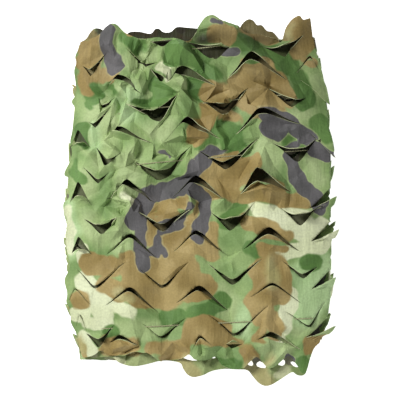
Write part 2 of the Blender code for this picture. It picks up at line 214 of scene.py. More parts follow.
class Slit:
    """A slit, with its own axes: along the line between its ends, and from that line to its tip."""

    def __init__(self, layer, spots, turn, gape, sway):
        self.left, self.tip, self.right = (np.array(spot, float) for spot in spots)
        self.layer, self.turn, self.gape, self.sway = layer, turn, gape, sway
        self.width = float(np.linalg.norm(self.right - self.left))
        self.beside = (self.right - self.left) / self.width
        self.outward = np.array([-self.beside[1], self.beside[0]])
        if (self.tip - self.left) @ self.outward < 0.0:
            self.outward = -self.outward
        self.tip_across = float((self.tip - self.left) @ self.beside)
        self.depth = float((self.tip - self.left) @ self.outward)

    def seen(self, spots):
        """How far along the line between the ends, and how far out from it."""
        return (spots - self.left) @ self.beside, (spots - self.left) @ self.outward

    def reach(self, across):
        """How far out the slit is, at places along the line between its ends."""
        before = (self.tip_across - across) / self.tip_across
        after = (across - self.tip_across) / (self.width - self.tip_across)
        return self.depth * (1.0 - slit_shape(np.clip(np.maximum(before, after), 0.0, 1.0)))

    def line(self):
        """The slit's points, from its left end round its tip to its right end."""
        steps = TOP_SLIT_STEPS if self.layer == TOP else LOWER_SLIT_STEPS
        to_tip = self.tip_across * np.arange(steps) / steps
        from_tip = self.tip_across + (self.width - self.tip_across) * np.arange(steps + 1) / steps
        across = np.concatenate([to_tip, from_tip])
        return self.left + across[:, None] * self.beside + self.reach(across)[:, None] * self.outward


slits = []
for *spots, turn, gape, sway in TOP_SLITS:
    slits.append(Slit(TOP, flat_spots(TOP, spots), turn / 10, gape / 1000, sway / 1000))

# The slits of the layers below, in even rows: how each V and each peak runs from its tip to its ends,
# how far at most the tongues turn up or down, and how far they draw back.
V_ARMS = ((-0.0297, 0.0217), (0.0310, 0.0250))
PEAK_ARMS = ((-0.0250, -0.0220), (0.0350, -0.0270))
LOWER_ROWS_UP = 0.012
LOWER_TURN = 0.28
LOWER_GAPE = 0.005
LOWER_GAPE_VARIES = 0.002


def arrow(distance, y, arms, up=1):
    """The left end, tip and right end of a slit whose tip is at this place of the flat cloth."""
    (left_x, left_y), (right_x, right_y) = arms
    return (distance + left_x, y + up * left_y), (distance, y), (distance + right_x, y + up * right_y)


first_v = distance_at(TOP, HALF_PITCH)
for number in range(-int(first_v // HALF_PITCH), 6):
    distance = first_v + number * HALF_PITCH
    layer = int(distance // LAYER_PERIOD)
    if 0 <= layer < TOP and HALF_PITCH < distance - layer * LAYER_PERIOD < LAYER_WIDTH - HALF_PITCH:
        for row in range(ROWS - 1):
            y = LOWEST_ROW + row * ROW_PITCH + LOWER_ROWS_UP
            spots = arrow(distance, y, PEAK_ARMS if number % 2 else V_ARMS)
            turn = LOWER_TURN * math.sin(5.1 * number + 2.3 * row)
            gape = LOWER_GAPE + LOWER_GAPE_VARIES * math.sin(3.0 * number + row)
            slits.append(Slit(layer, spots, turn, gape, 0.0))

# Tongues that stick out where a fold runs through a row of slits. On the folds below the top one:
# fold, first row, last row, how far. On the top one: height, whether it points up or down, how far.
SIDE_TONGUES = (
    (0, 0, 5, 0.004),
    (1, 1, 5, 0.003),
    (2, 0, 4, 0.006),
    (3, 0, 5, 0.004),
)
RIGHT_TONGUES = (
    (-0.142, 1, 0.012),
    (-0.086, 1, 0.007),
    (-0.031, 1, 0.012),
    (0.006, 1, 0.009),
    (0.046, -1, 0.007),
    (0.104, -1, 0.006),
)
SIDE_ARMS = ((-0.0230, -0.0220), (0.0230, -0.0220))
SIDE_ROWS_VARY = 0.008
LOWEST_SIDE_TONGUE = CLOTH_LOW_EDGE + 0.043
REACH_VARIES = 0.35
side_slits = []
for fold, first_row, last_row, reach in SIDE_TONGUES:
    distance = fold * LAYER_PERIOD + LAYER_WIDTH + BEND_LENGTH / 2
    for row in range(first_row, last_row + 1):
        y = LOWEST_ROW + row * ROW_PITCH + SIDE_ROWS_VARY * math.sin(2.4 * row + fold)
        spots = arrow(distance, max(y, LOWEST_SIDE_TONGUE), SIDE_ARMS)
        reach_here = reach * (1.0 + REACH_VARIES * math.sin(1.7 * row + 2.0 * fold))
        side_slits.append(Slit(fold, spots, 0.0, reach_here * float(layer_direction(fold)), 0.0))
for y, up, reach in RIGHT_TONGUES:
    spots = arrow(TOP * LAYER_PERIOD - BEND_LENGTH / 2, y, SIDE_ARMS, up)
    side_slits.append(Slit(TOP - 1, spots, 0.0, reach, 0.0))

# The cut edges of the two upper layers, in 400ths of the picture, and holes through the second
# layer's low flaps, by the corners of each.
LOW_EDGES = {
    4: (
        (70, 346), (78, 349), (80, 354), (83, 360), (98, 358), (112, 357), (118, 363), (125, 366),
        (134, 367), (146, 365), (160, 361), (170, 361), (181, 363), (183, 369), (187, 375), (193, 378),
        (202, 376), (212, 371), (225, 369), (236, 370), (248, 370), (253, 377), (259, 384), (266, 387),
        (274, 384), (284, 378), (293, 372), (297, 376), (303, 377), (307, 374), (309, 362), (313, 350),
        (319, 342), (324, 334),
    ),
    5: (
        (326, 331), (322, 342), (315, 348), (311, 358), (306, 374), (301, 374), (298, 366), (289, 356),
        (281, 361), (270, 369), (262, 362), (256, 355), (250, 361), (244, 368), (232, 370), (222, 367),
        (215, 357), (208, 361), (197, 360), (190, 351), (183, 357), (172, 361), (160, 360), (152, 354),
        (134, 352), (120, 356), (108, 356), (100, 351), (94, 356), (83, 359), (80, 353), (78, 344),
    ),
}
HIGH_EDGES = {
    4: (
        (78, 42), (86, 38), (89, 32), (94, 27), (101, 28), (106, 34), (118, 35), (126, 34), (130, 31),
        (140, 31), (151, 34), (155, 28), (159, 28), (163, 32), (171, 32), (176, 26), (186, 27), (197, 28),
        (212, 30), (238, 31), (243, 22), (249, 18), (254, 20), (257, 25), (262, 24), (267, 31), (273, 31),
        (278, 37), (281, 41), (286, 37), (300, 31), (312, 36),
    ),
    5: (
        (313, 38), (313, 30), (311, 18), (311, 17), (303, 20), (301, 15), (298, 15), (292, 19), (286, 27),
        (282, 38), (279, 43), (276, 38), (262, 33), (244, 32), (240, 28), (234, 24), (226, 23), (221, 20),
        (214, 14), (206, 16), (200, 24), (195, 36), (190, 41), (176, 38), (158, 38), (138, 38), (126, 34),
        (122, 30), (117, 24), (111, 23), (104, 28), (98, 36), (90, 38), (81, 41), (80, 41),
    ),
}
FREE_END = (
    (76, 334), (70, 324), (70, 318), (69, 308), (65, 303), (67, 294), (64, 284), (64, 278), (69, 270),
    (69, 262), (66, 250), (66, 240), (64, 236), (67, 226), (63, 215), (62, 202), (69, 199), (68, 186),
    (69, 178), (62, 175), (70, 160), (72, 152), (69, 142), (71, 134), (73, 122), (75, 108), (70, 101),
    (76, 94), (75, 82), (73, 70), (76, 62), (74, 56), (78, 48),
)
EDGE_HOLES = (
    ((180, 357), (188, 350), (199, 361), (190, 361)), ((210, 357), (213, 355), (216, 358), (213, 359)),
    ((245, 363), (251, 360), (254, 365), (251, 367)), ((256, 364), (261, 361), (268, 369), (258, 368)),
    ((277, 365), (282, 359), (286, 362), (284, 367)), ((290, 363), (294, 362), (301, 368), (295, 368)),
    ((93, 346), (98, 348), (99, 352), (94, 353)), ((158, 352), (161, 352), (162, 355), (158, 355)),
)
# The wavy edges of the layers below: the low one, and the high one, which falls towards the right.
EDGE_STEPS = 48
LOWER_LAYERS_LOW_EDGE = -0.171
LOWER_LAYERS_HIGH_EDGE = 0.186
HIGH_EDGE_FALL = 0.105
HIGH_EDGE_CORNER = 0.008
HIGH_EDGE_CORNER_RANGE = (0.07, 0.10)
LOW_WAVE = 0.004
HIGH_WAVE = 0.006
CORNER_CUT = 0.22
HOLE_CORNER_CUT = 0.25
flat_points, flat_edges = [], []


def draw(line, closed=False):
    """Draw a line on the flat cloth. Returns the numbers of its edges."""
    first, count, drawn = len(flat_points), len(line), len(flat_edges)
    flat_points.extend((float(x), float(y)) for x, y in line)
    flat_edges.extend((first + i, first + (i + 1) % count) for i in range(count if closed else count - 1))
    return range(drawn, len(flat_edges))


def rounded(corners):
    """Round off a line's corners."""
    line = np.array(corners, float)
    for _ in range(2):
        near = (1.0 - CORNER_CUT) * line[:-1] + CORNER_CUT * line[1:]
        far = CORNER_CUT * line[:-1] + (1.0 - CORNER_CUT) * line[1:]
        line = np.concatenate([line[:1], np.stack([near, far], axis=1).reshape(-1, 2), line[-1:]])
    return line


low_outline, high_outline = [], []
for layer in range(LAYERS):
    if layer in LOW_EDGES:
        low_line = flat_spots(layer, rounded(LOW_EDGES[layer]))
        high_line = flat_spots(layer, rounded(HIGH_EDGES[layer]))
    else:
        steps = np.arange(EDGE_STEPS + 1) / EDGE_STEPS
        distances = layer * LAYER_PERIOD + LAYER_WIDTH * steps
        wave = np.maximum(0.0, np.sin(np.pi * distances / HALF_PITCH)) * (1.0 - (2.0 * steps - 1.0) ** 8)
        low_line = np.stack([distances, LOWER_LAYERS_LOW_EDGE - LOW_WAVE * wave], axis=1)
        towards_right = layer_direction(layer) * (2.0 * steps - 1.0) * LAYER_WIDTH / 2
        high = LOWER_LAYERS_HIGH_EDGE - HIGH_EDGE_FALL * np.maximum(0.0, towards_right)
        high = high - HIGH_EDGE_CORNER * smooth(towards_right, *HIGH_EDGE_CORNER_RANGE)
        high_line = np.stack([distances, high + HIGH_WAVE * wave], axis=1)
    for edge_line, line in ((low_outline, low_line), (high_outline, high_line)):
        if edge_line:
            last_y = edge_line[-1][1]
            for share in np.arange(BEND_STEPS + 1) / BEND_STEPS:
                x = layer * LAYER_PERIOD - BEND_LENGTH + BEND_LENGTH * share
                edge_line.append((x, last_y + (line[0][1] - last_y) * share))
        edge_line.extend(line.tolist())
outline = low_outline + flat_spots(TOP, rounded(FREE_END)).tolist() + high_outline[::-1]

draw(outline, closed=True)
cut_edges = set()
for slit in slits + side_slits:
    cut_edges.update(draw(slit.line()))
edge_holes = []
for corners in EDGE_HOLES:
    ring = flat_spots(TOP - 1, corners)
    ahead = np.roll(ring, -1, axis=0)
    step_ahead = HOLE_CORNER_CUT * (ahead - ring)
    ring = np.concatenate([ring + step_ahead, ahead - step_ahead])
    from_middle = ring - ring.mean(axis=0)
    edge_holes.append(ring[np.argsort(np.arctan2(from_middle[:, 1], from_middle[:, 0]))])
    draw(edge_holes[-1], closed=True)

# The cloth is stiff, so it lies in flat facets with creases between the ends and tips of its slits.
# Each of those places stands a little higher or lower, more so where the net is crumpled.
FACET_LINES = 25
FACET_COLUMNS = 17
FACETS_FROM = (-0.142, -0.190)
FACET_STEP = (0.0172, 0.0160)
FACET_UNEVEN = 0.3
FACET_GAP = 0.0080
STILL_BEFORE_LAYER = 0.003
STILL_FROM = -0.24
STILL_STEP = 0.080
STILL_CORNERS = 7
ENDS_LEFT_ASIDE = 0.02
CREASES_PAST_FOLD = 0.004
CREASES_BEFORE_END = 0.002
CREASES_WITHIN = 0.178
CREASE_STEP = 0.0026
facet_corners, facet_moves, facet_lines = [], [], []


def uneven(number):
    """A fixed, irregular value from -1 to 1 for each whole number."""
    value = math.sin(number * 12.9898) * 43758.5453
    return 2.0 * (value - math.floor(value)) - 1.0


for number, slit in enumerate(slits):
    first = len(facet_corners)
    hinge = slit.left + slit.tip_across * slit.beside
    for order, spot in enumerate((slit.left, slit.tip, slit.right, hinge)):
        facet_corners.append(tuple(spot.tolist()))
        facet_moves.append([uneven(5 * number + order + seed) for seed in (3, 31, 17)])
    facet_lines += [(first, first + 1), (first + 1, first + 2)]
placed = np.array(facet_corners)
number = 0
for layer in range(LAYERS):
    for line in range(FACET_LINES):
        for column in range(FACET_COLUMNS):
            number += 1
            steps_right = column + 0.5 * (line % 2) + FACET_UNEVEN * uneven(number)
            spot_x = FACETS_FROM[0] + FACET_STEP[0] * steps_right
            steps_up = line + FACET_UNEVEN * uneven(2 * number + 1)
            spot = (distance_at(layer, spot_x), FACETS_FROM[1] + FACET_STEP[1] * steps_up)
            if np.hypot(placed[:, 0] - spot[0], placed[:, 1] - spot[1]).min() > FACET_GAP:
                facet_corners.append(spot)
                facet_moves.append([uneven(number + 5), uneven(number + 57), uneven(3 * number + 2)])
# A line of corners that stay where they are runs along each fold.
for layer in range(LAYERS + 1):
    for step in range(STILL_CORNERS):
        facet_corners.append((layer * LAYER_PERIOD - STILL_BEFORE_LAYER, STILL_FROM + STILL_STEP * step))
        facet_moves.append([0.0, 0.0, 0.0])
corner_vectors = [Vector(spot) for spot in facet_corners]
found = delaunay_2d_cdt(corner_vectors, facet_lines, [], 0, 1e-6)
facet_spots, facet_edges, facets, corner_sources, edge_sources = found[:5]
facet_spots = np.array([tuple(spot) for spot in facet_spots])
facet_moves = [facet_moves[sources[0]] if sources else [0.0, 0.0, 0.0] for sources in corner_sources]
facet_shifts = np.array(facet_moves)
top_lines = [slit.line() for slit in slits if slit.layer == TOP]
segment_starts = np.concatenate([line[:-1] for line in top_lines])
segment_ends = np.concatenate([line[1:] for line in top_lines])
crease_edges = set()


def side_of(a, b, spot):
    """On which side of the line from a to b a spot lies, as a plus or a minus."""
    ahead, away = b - a, spot - a
    return ahead[..., 0] * away[..., 1] - ahead[..., 1] * away[..., 0]


def crosses_slit(start, end):
    """Whether a crease would run across a slit, its own ends left aside."""
    shorter = ENDS_LEFT_ASIDE * (end - start)
    start, end = start + shorter, end - shorter
    apart = side_of(start, end, segment_starts) * side_of(start, end, segment_ends) < 0.0
    starts_side, ends_side = (side_of(segment_starts, segment_ends, spot) for spot in (start, end))
    return bool((apart & (starts_side * ends_side < 0.0)).any())


def draw_crease(start, end):
    """Draw a crease on the flat cloth, in short steps."""
    steps = max(1, int(np.linalg.norm(end - start) / CREASE_STEP))
    crease_edges.update(draw(start + (end - start) * np.arange(steps + 1)[:, None] / steps))


for ends, sources in zip(facet_edges, edge_sources):
    start, end = facet_spots[list(ends)]
    past_fold = min(start[0], end[0]) >= TOP * LAYER_PERIOD + CREASES_PAST_FOLD
    before_end = max(start[0], end[0]) <= CLOTH_LENGTH - CREASES_BEFORE_END
    within_edges = max(abs(start[1]), abs(end[1])) <= CREASES_WITHIN
    if past_fold and before_end and within_edges and not sources and not crosses_slit(start, end):
        draw_crease(start, end)

# The sharpest creases, given one by one on each layer: both ends in 400ths of the picture, half the
# width and the rise in millimetres. One that has a negative rise is a trough.
CREASES = {
    5: (
        ((93, 41), (107, 50), 6, 4.5), ((111, 27), (111, 52), 8, 4.5), ((118, 36), (117, 54), 5, -3.0),
        ((84, 52), (82, 62), 5, 5.0), ((92, 46), (91, 56), 5, 5.0), ((88, 44), (80, 56), 5, -4.0),
        ((143, 64), (131, 79), 6, -3.0), ((158, 56), (175, 68), 6, 3.5), ((186, 42), (180, 62), 9, 3.5),
        ((148, 66), (141, 88), 8, 3.0), ((157, 85), (178, 93), 4, 2.5), ((176, 82), (193, 104), 5, 3.0),
        ((128, 80), (129, 103), 6, -3.5), ((124, 80), (119, 100), 5, 2.5),
        ((100, 97), (106, 112), 6, 3.0), ((86, 80), (98, 76), 5, 2.0),
        ((108, 110), (114, 128), 6, -3.0), ((103, 146), (121, 156), 8, 5.0),
        ((134, 139), (135, 160), 5, 4.0), ((92, 128), (94, 150), 6, 3.0),
        ((84, 150), (97, 160), 5, 2.5), ((173, 95), (183, 118), 5, -3.0),
        ((188, 125), (189, 147), 4, -4.5), ((165, 141), (177, 153), 5, 3.0),
        ((188, 151), (184, 178), 6, 3.5), ((212, 104), (222, 142), 7, 4.0),
        ((222, 138), (227, 158), 5, 3.0), ((84, 198), (112, 180), 6, -2.5),
        ((115, 166), (114, 188), 5, -3.5), ((120, 190), (121, 210), 5, -5.0),
        ((95, 210), (108, 200), 6, 3.0), ((128, 186), (140, 203), 6, 3.0),
        ((172, 197), (181, 205), 5, -3.0), ((97, 238), (98, 258), 7, 3.0),
        ((126, 240), (125, 258), 5, -4.0), ((110, 250), (122, 240), 4, 2.0),
        ((260, 60), (263, 86), 7, 4.0), ((268, 66), (269, 84), 5, -2.5),
        ((246, 92), (228, 84), 8, -3.0), ((262, 90), (268, 112), 9, 3.5),
        ((222, 88), (226, 106), 8, -3.0), ((290, 58), (297, 66), 5, 2.5),
        ((302, 64), (295, 73), 5, 3.0), ((303, 66), (309, 84), 7, -4.5), ((313, 68), (316, 86), 6, 4.0),
        ((318, 78), (301, 98), 7, 3.0), ((247, 121), (251, 136), 6, 3.0),
        ((266, 142), (268, 162), 10, 3.0), ((299, 130), (297, 155), 7, 4.0),
        ((294, 168), (300, 182), 6, 2.0), ((252, 188), (256, 202), 6, -2.5),
        ((270, 188), (268, 205), 6, 3.0), ((290, 190), (290, 207), 6, -4.0),
        ((302, 262), (318, 254), 7, 3.0), ((232, 262), (233, 275), 4, 2.5),
        ((269, 256), (269, 280), 9, 3.5), ((272, 288), (270, 312), 8, 3.0),
        ((194, 288), (193, 304), 9, -2.5), ((108, 278), (118, 290), 9, -2.5),
        ((113, 311), (116, 320), 4, -3.0), ((262, 318), (258, 335), 5, -3.0),
        ((281, 316), (285, 330), 6, 3.0), ((300, 345), (284, 351), 6, 4.0),
        ((284, 351), (271, 364), 6, 4.0), ((137, 340), (112, 350), 6, 4.0),
        ((139, 346), (108, 356), 5, -4.0), ((112, 337), (104, 345), 5, -3.0),
        ((160, 342), (186, 346), 6, 3.0), ((201, 339), (202, 353), 4, -5.0),
        ((247, 345), (255, 355), 5, 3.0),
    ),
    4: (
        ((127, 352), (124, 365), 6, -5.0), ((140, 354), (138, 364), 7, 3.0),
        ((205, 364), (204, 374), 7, 3.0), ((272, 370), (271, 384), 8, 3.0),
    ),
}
placed_creases = []
for layer, creases_here in CREASES.items():
    for *ends, half_width, rise in creases_here:
        start, end = flat_spots(layer, ends)
        placed_creases.append((layer, start, end, half_width / 1000, rise / 1000))
        draw_crease(start, end)

# The rest of the sheet's points: a fine, even grid on the top layer and a coarser one below, with
# twice the points where the second layer shows past the top one, and short rows across each bend.
FINE_SPACING = 0.0025
COARSE_SPACING = 0.0062
LINE_RATIO = 0.866
GRID_LOW = -0.232
GRID_HEIGHT = 0.47
SECOND_SHOWS = 0.172
BEND_ROWS = 64
BEND_ROWS_LOW = -0.168
BEND_ROW_STEP = 0.0055
POINT_GAP = 0.0015
grid = []
for layer in range(LAYERS):
    spacing = FINE_SPACING if layer == TOP else COARSE_SPACING
    start = layer * LAYER_PERIOD
    columns = int(LAYER_WIDTH / spacing)
    for line in range(int(GRID_HEIGHT / (spacing * LINE_RATIO))):
        y = GRID_LOW + line * spacing * LINE_RATIO
        for column in range(columns + (6 if layer == TOP else 1)):
            distance = start + (column + 0.5 * (line % 2)) * LAYER_WIDTH / columns
            if distance <= start + LAYER_WIDTH or layer == TOP:
                grid.append((distance, y))
        for column in range(columns if layer == TOP - 1 and abs(y) > SECOND_SHOWS else 0):
            distance = start + (column + 0.5 + 0.5 * (line % 2)) * LAYER_WIDTH / columns
            grid.append((distance, y + spacing * LINE_RATIO / 2))
    for step in range(BEND_STEPS + 1 if layer < TOP else 0):
        distance = start + LAYER_WIDTH + BEND_LENGTH * step / BEND_STEPS
        grid.extend((distance, BEND_ROWS_LOW + BEND_ROW_STEP * line) for line in range(BEND_ROWS))
grid = np.array(grid)


def inside_ring(ring, points):
    """Which points lie inside a closed line."""
    ring = np.array(ring)
    found = np.zeros(len(points), bool)
    for (ax, ay), (bx, by) in zip(ring, np.roll(ring, -1, axis=0)):
        if ay != by:
            crosses = (ay > points[:, 1]) != (by > points[:, 1])
            found ^= crosses & (points[:, 0] < (bx - ax) * (points[:, 1] - ay) / (by - ay) + ax)
    return found


def clear_of(points, others, gap):
    """Which points lie further than the gap from all others, by a coarse grid of cells."""
    cells = {}
    for x, y in others:
        cells.setdefault((int(x // gap), int(y // gap)), []).append((x, y))
    keep = np.ones(len(points), bool)
    for i, (x, y) in enumerate(points):
        cx, cy = int(x // gap), int(y // gap)
        near = (p for a in (-1, 0, 1) for b in (-1, 0, 1) for p in cells.get((cx + a, cy + b), ()))
        keep[i] = all((x - px) ** 2 + (y - py) ** 2 > gap * gap for px, py in near)
    return keep


grid = grid[inside_ring(outline, grid)]
grid = grid[clear_of(grid, flat_points, POINT_GAP)]
all_points = [Vector(spot) for spot in flat_points + grid.tolist()]
flat, joined, triangles, _, joined_from, _ = delaunay_2d_cdt(all_points, flat_edges, [], 0, 1e-6)
flat = np.array([tuple(spot) for spot in flat])
triangles = np.array([triangle for triangle in triangles if len(triangle) == 3])
middles = flat[triangles].mean(axis=1)
keep = inside_ring(outline, middles)
for ring in edge_holes:
    keep &= ~inside_ring(ring, middles)

# The sheet is cut open along its slits, and its creases are marked for the shading. Then it is laid
# in folds.
sheet_mesh = bmesh.new()
corners = [sheet_mesh.verts.new((x, y, 0.0)) for x, y in flat]
for triangle in triangles[keep]:
    sheet_mesh.faces.new([corners[i] for i in triangle])
cut = []
for (a, b), sources in zip(joined, joined_from):
    edge = sheet_mesh.edges.get((corners[a], corners[b])) if sources else None
    if edge and not cut_edges.isdisjoint(sources):
        cut.append(edge)
    elif edge and not crease_edges.isdisjoint(sources):
        edge.smooth = False
unused = [corner for corner in sheet_mesh.verts if not corner.link_faces]
bmesh.ops.delete(sheet_mesh, geom=unused, context="VERTS")
bmesh.ops.split_edges(sheet_mesh, edges=cut)
sheet_mesh.verts.index_update()
flat = np.array([corner.co[:2] for corner in sheet_mesh.verts])
triangles = np.array([[corner.index for corner in face.verts][::-1] for face in sheet_mesh.faces])
sharp = [edge for edge in sheet_mesh.edges if not edge.smooth]
creases = {tuple(sorted(corner.index for corner in edge.verts)) for edge in sharp}
sheet_mesh.free()
places, layers, flat_x = laid(flat[:, 0], flat[:, 1])
on_top = layers == TOP
across = flat_x / (LAYER_WIDTH / 2)

# Creased ridges run down the peak columns of the top layer, and creased troughs down its V columns.
# They fade towards the pack's sides and ends.
RIDGE_RISE = 0.0026
FADE_AT = 0.215
FADE_RANGE = 0.03
# Crumpled places of the top layer: x, y, half the width, half the height, how high.
CRUMPLES = (
    (-0.104, 0.118, 0.030, 0.016, 0.0050),
    (-0.066, 0.092, 0.024, 0.018, 0.0040),
    (-0.118, 0.052, 0.020, 0.024, 0.0050),
    (-0.070, 0.030, 0.026, 0.014, 0.0050),
    (-0.030, 0.128, 0.018, 0.026, 0.0040),
    (0.092, 0.012, 0.046, 0.010, 0.0060),
    (0.122, 0.070, 0.018, 0.030, 0.0040),
    (-0.118, -0.010, 0.022, 0.014, 0.0050),
    (0.020, -0.170, 0.040, 0.010, 0.0030),
)
# Small uneven waves, so that no two bands lie alike: along x, along y, phase, height in millimetres.
WAVES = (
    (71.0, 43.0, 0.3, 0.8),
    (-38.0, 97.0, 1.9, 0.7),
    (124.0, -61.0, 4.0, 0.45),
    (57.0, 171.0, 2.2, 0.4),
    (-183.0, 88.0, 5.1, 0.3),
)
# The cloth is crumpled all over above a certain height, which is lower at the left. It is a little less
# so at the right and near the high edge, and it is crumpled along the low edge too.
CRUMPLED_ABOVE = -0.030
LOWER_AT_LEFT = 0.040
LEFT_PART = (-0.100, -0.055)
CRUMPLED_RANGE = 0.045
LESS_AT_RIGHT = 0.15
RIGHT_PART = (-0.03, 0.04)
LESS_AT_HIGH_EDGE = 0.25
HIGH_EDGE_PART = (0.15, 0.18)
CRUMPLED_AT_LOW_EDGE = 0.55
LOW_EDGE_PART = (0.145, 0.165)
# How far the corners of the facets stand out or sideways where the net is smooth and, added to that,
# where it is crumpled.
FACET_RISE = 0.0026
CRUMPLED_RISE = 0.0070
FACET_SHIFT = 0.0010
CRUMPLED_SHIFT = 0.0038
LOWER_FACET_RISE = 0.0011
LOWER_WAVE_SHARE = 0.35


def soft_spot(x, y, middle_x, middle_y, half_width, half_height):
    """A soft round spot: 1 in its middle, a third of that at its half width, then fading out."""
    return np.exp(-(((x - middle_x) / half_width) ** 2 + ((y - middle_y) / half_height) ** 2))


fade_to_sides = 1.0 - np.minimum(1.0, abs(across)) ** 4
fade = np.where(on_top, fade_to_sides * smooth(FADE_AT - abs(flat[:, 1]), 0.0, FADE_RANGE), 0.0)
places[:, 2] += RIDGE_RISE * np.arcsin(0.97 * np.cos(np.pi * flat_x / HALF_PITCH)) * fade
for *spot, rise in CRUMPLES:
    places[:, 2] += rise * soft_spot(flat_x, flat[:, 1], *spot) * fade

crumples_from = CRUMPLED_ABOVE - LOWER_AT_LEFT * (1.0 - smooth(flat_x, *LEFT_PART))
crumpled = smooth(flat[:, 1], crumples_from, crumples_from + CRUMPLED_RANGE)
crumpled = crumpled * (1.0 - LESS_AT_RIGHT * smooth(flat_x, *RIGHT_PART))
crumpled = crumpled * (1.0 - LESS_AT_HIGH_EDGE * smooth(flat[:, 1], *HIGH_EDGE_PART))
low_edge_part = CRUMPLED_AT_LOW_EDGE * smooth(-flat[:, 1], *LOW_EDGE_PART)
crumpled = np.maximum(crumpled, low_edge_part)

facet_lifts = np.zeros((len(flat), 3))
for facet in facets:
    a, b, c = facet_spots[list(facet)]
    low, high = np.min([a, b, c], axis=0) - 1e-6, np.max([a, b, c], axis=0) + 1e-6
    near = np.nonzero(((flat >= low) & (flat <= high)).all(axis=1))[0]
    size = (b[0] - a[0]) * (c[1] - a[1]) - (c[0] - a[0]) * (b[1] - a[1])
    if abs(size) < 1e-9 or not len(near):
        continue
    x, y = (flat[near] - a).T
    second = (x * (c[1] - a[1]) - (c[0] - a[0]) * y) / size
    third = ((b[0] - a[0]) * y - x * (b[1] - a[1])) / size
    within = (second >= -1e-4) & (third >= -1e-4) & (second + third <= 1.0 + 1e-4)
    shares = np.stack([1.0 - second - third, second, third], axis=1)
    facet_lifts[near[within]] = (shares @ facet_shifts[list(facet)])[within]
facet_lifts *= np.where(on_top, fade, 1.0 - abs(across) ** 3)[:, None]
rise = np.where(on_top, FACET_RISE + CRUMPLED_RISE * crumpled, LOWER_FACET_RISE)
shift = np.where(on_top, FACET_SHIFT + CRUMPLED_SHIFT * crumpled, 0.0)
places[:, 2] += facet_lifts[:, 2] * rise
places[:, :2] += facet_lifts[:, :2] * shift[:, None]

for layer, start, end, half_width, rise in placed_creases:
    along = end - start
    share = np.clip((flat - start) @ along / (along @ along), 0.0, 1.0)
    away = np.linalg.norm(flat - start - share[:, None] * along, axis=1)
    tent = np.maximum(0.0, 1.0 - away / half_width) * np.where(on_top, fade, 1.0)
    places[:, 2] += np.where(layers == layer, rise * tent, 0.0)
wave_fade = np.where(on_top, fade, LOWER_WAVE_SHARE * (1.0 - abs(across) ** 3))
for along_x, along_y, phase, height in WAVES:
    wave = np.sin(along_x * flat_x + along_y * flat[:, 1] + phase)
    places[:, 2] += 0.001 * height * wave * wave_fade
stiff = places.copy()

# Each tongue turns about the line between its slit's ends, and its tip draws back by the gape. It
# twists a little, and a crease runs from its tip to its middle.
TWIST = 0.7
ROLLED_TWIST = 0.3
TONGUE_CREASE = 0.0035
TONGUE_CREASE_WIDTH = 0.016
LEAST_CREASE = 0.4
TONGUE_WITHIN = 0.060
TOWARDS_FACES = 0.3
faces_each = np.bincount(triangles.ravel(), minlength=len(flat))
middles = flat[triangles].mean(axis=1)
around = np.zeros_like(flat)
for corner in range(3):
    for axis in (0, 1):
        around[:, axis] += np.bincount(triangles[:, corner], middles[:, axis], minlength=len(flat))
around /= faces_each[:, None]


def tongue_of(slit, within):
    """The points of a slit's tongue, and how far each is along the hinge line and out from it."""
    near = np.nonzero(np.hypot(*(flat - slit.tip).T) < within)[0]
    beside, out = slit.seen(flat[near])
    towards_faces = (1.0 - TOWARDS_FACES) * flat[near] + TOWARDS_FACES * around[near]
    inner_beside, inner_out = slit.seen(towards_faces)
    inside = (inner_out < slit.reach(inner_beside)) & (out > 0.0)
    return near[inside], beside[inside], out[inside]


in_tongue = np.zeros(len(flat), bool)
in_v_tongue = np.zeros(len(flat), bool)
for number, slit in enumerate(slits):
    tongue, beside, out = tongue_of(slit, TONGUE_WITHIN)
    inside = (beside > 0.0) & (beside < slit.width)
    tongue, beside, out = tongue[inside], beside[inside], out[inside]
    in_tongue[tongue] = True
    in_v_tongue[tongue] = slit.layer == TOP and slit.tip[1] < min(slit.left[1], slit.right[1])
    radius = slit.depth / slit.turn
    share = out / slit.depth
    twist = TWIST * uneven(number + 4) * (beside / slit.width - 0.5)
    twist *= 1.0 if slit.turn < 1.0 else ROLLED_TWIST
    lift = radius * (1.0 - np.cos(out / radius)) * (1.0 + twist)
    crease = np.maximum(0.0, 1.0 - abs(beside - slit.tip_across) / TONGUE_CREASE_WIDTH) * share
    lift += TONGUE_CREASE * crease * (LEAST_CREASE + (1.0 - LEAST_CREASE) * abs(uneven(number + 9)))
    back = out - radius * np.sin(out / radius) + slit.gape * share
    places[tongue, 2] += lift
    places[tongue, 0] -= float(layer_direction(slit.layer)) * slit.outward[0] * back + slit.sway * share
    places[tongue, 1] -= slit.outward[1] * back

# The tongues that the folds run through stay stiff, so they open and stick out of the pack's sides.
SIDE_TONGUE_WITHIN = 0.040
SIDE_TONGUE_REACH = 0.8
SIDE_TONGUE_OPENS = 0.25
RIGHT_TONGUE_DROP = 0.0090
SIDE_TONGUE_DROP = 0.0045
for slit in side_slits:
    tongue, _, out = tongue_of(slit, SIDE_TONGUE_WITHIN)
    share = out / slit.depth
    fold_height = places[tongue, 2].mean()
    stands_out = np.sqrt(np.maximum(0.0, share)) * smooth(share, 0.0, 0.3)
    places[tongue, 0] += slit.gape * SIDE_TONGUE_REACH * stands_out
    places[tongue, 1] -= (RIGHT_TONGUE_DROP if slit.layer == TOP - 1 else SIDE_TONGUE_DROP) * share
    places[tongue, 2] += (places[tongue, 2] - fold_height) * SIDE_TONGUE_OPENS * share

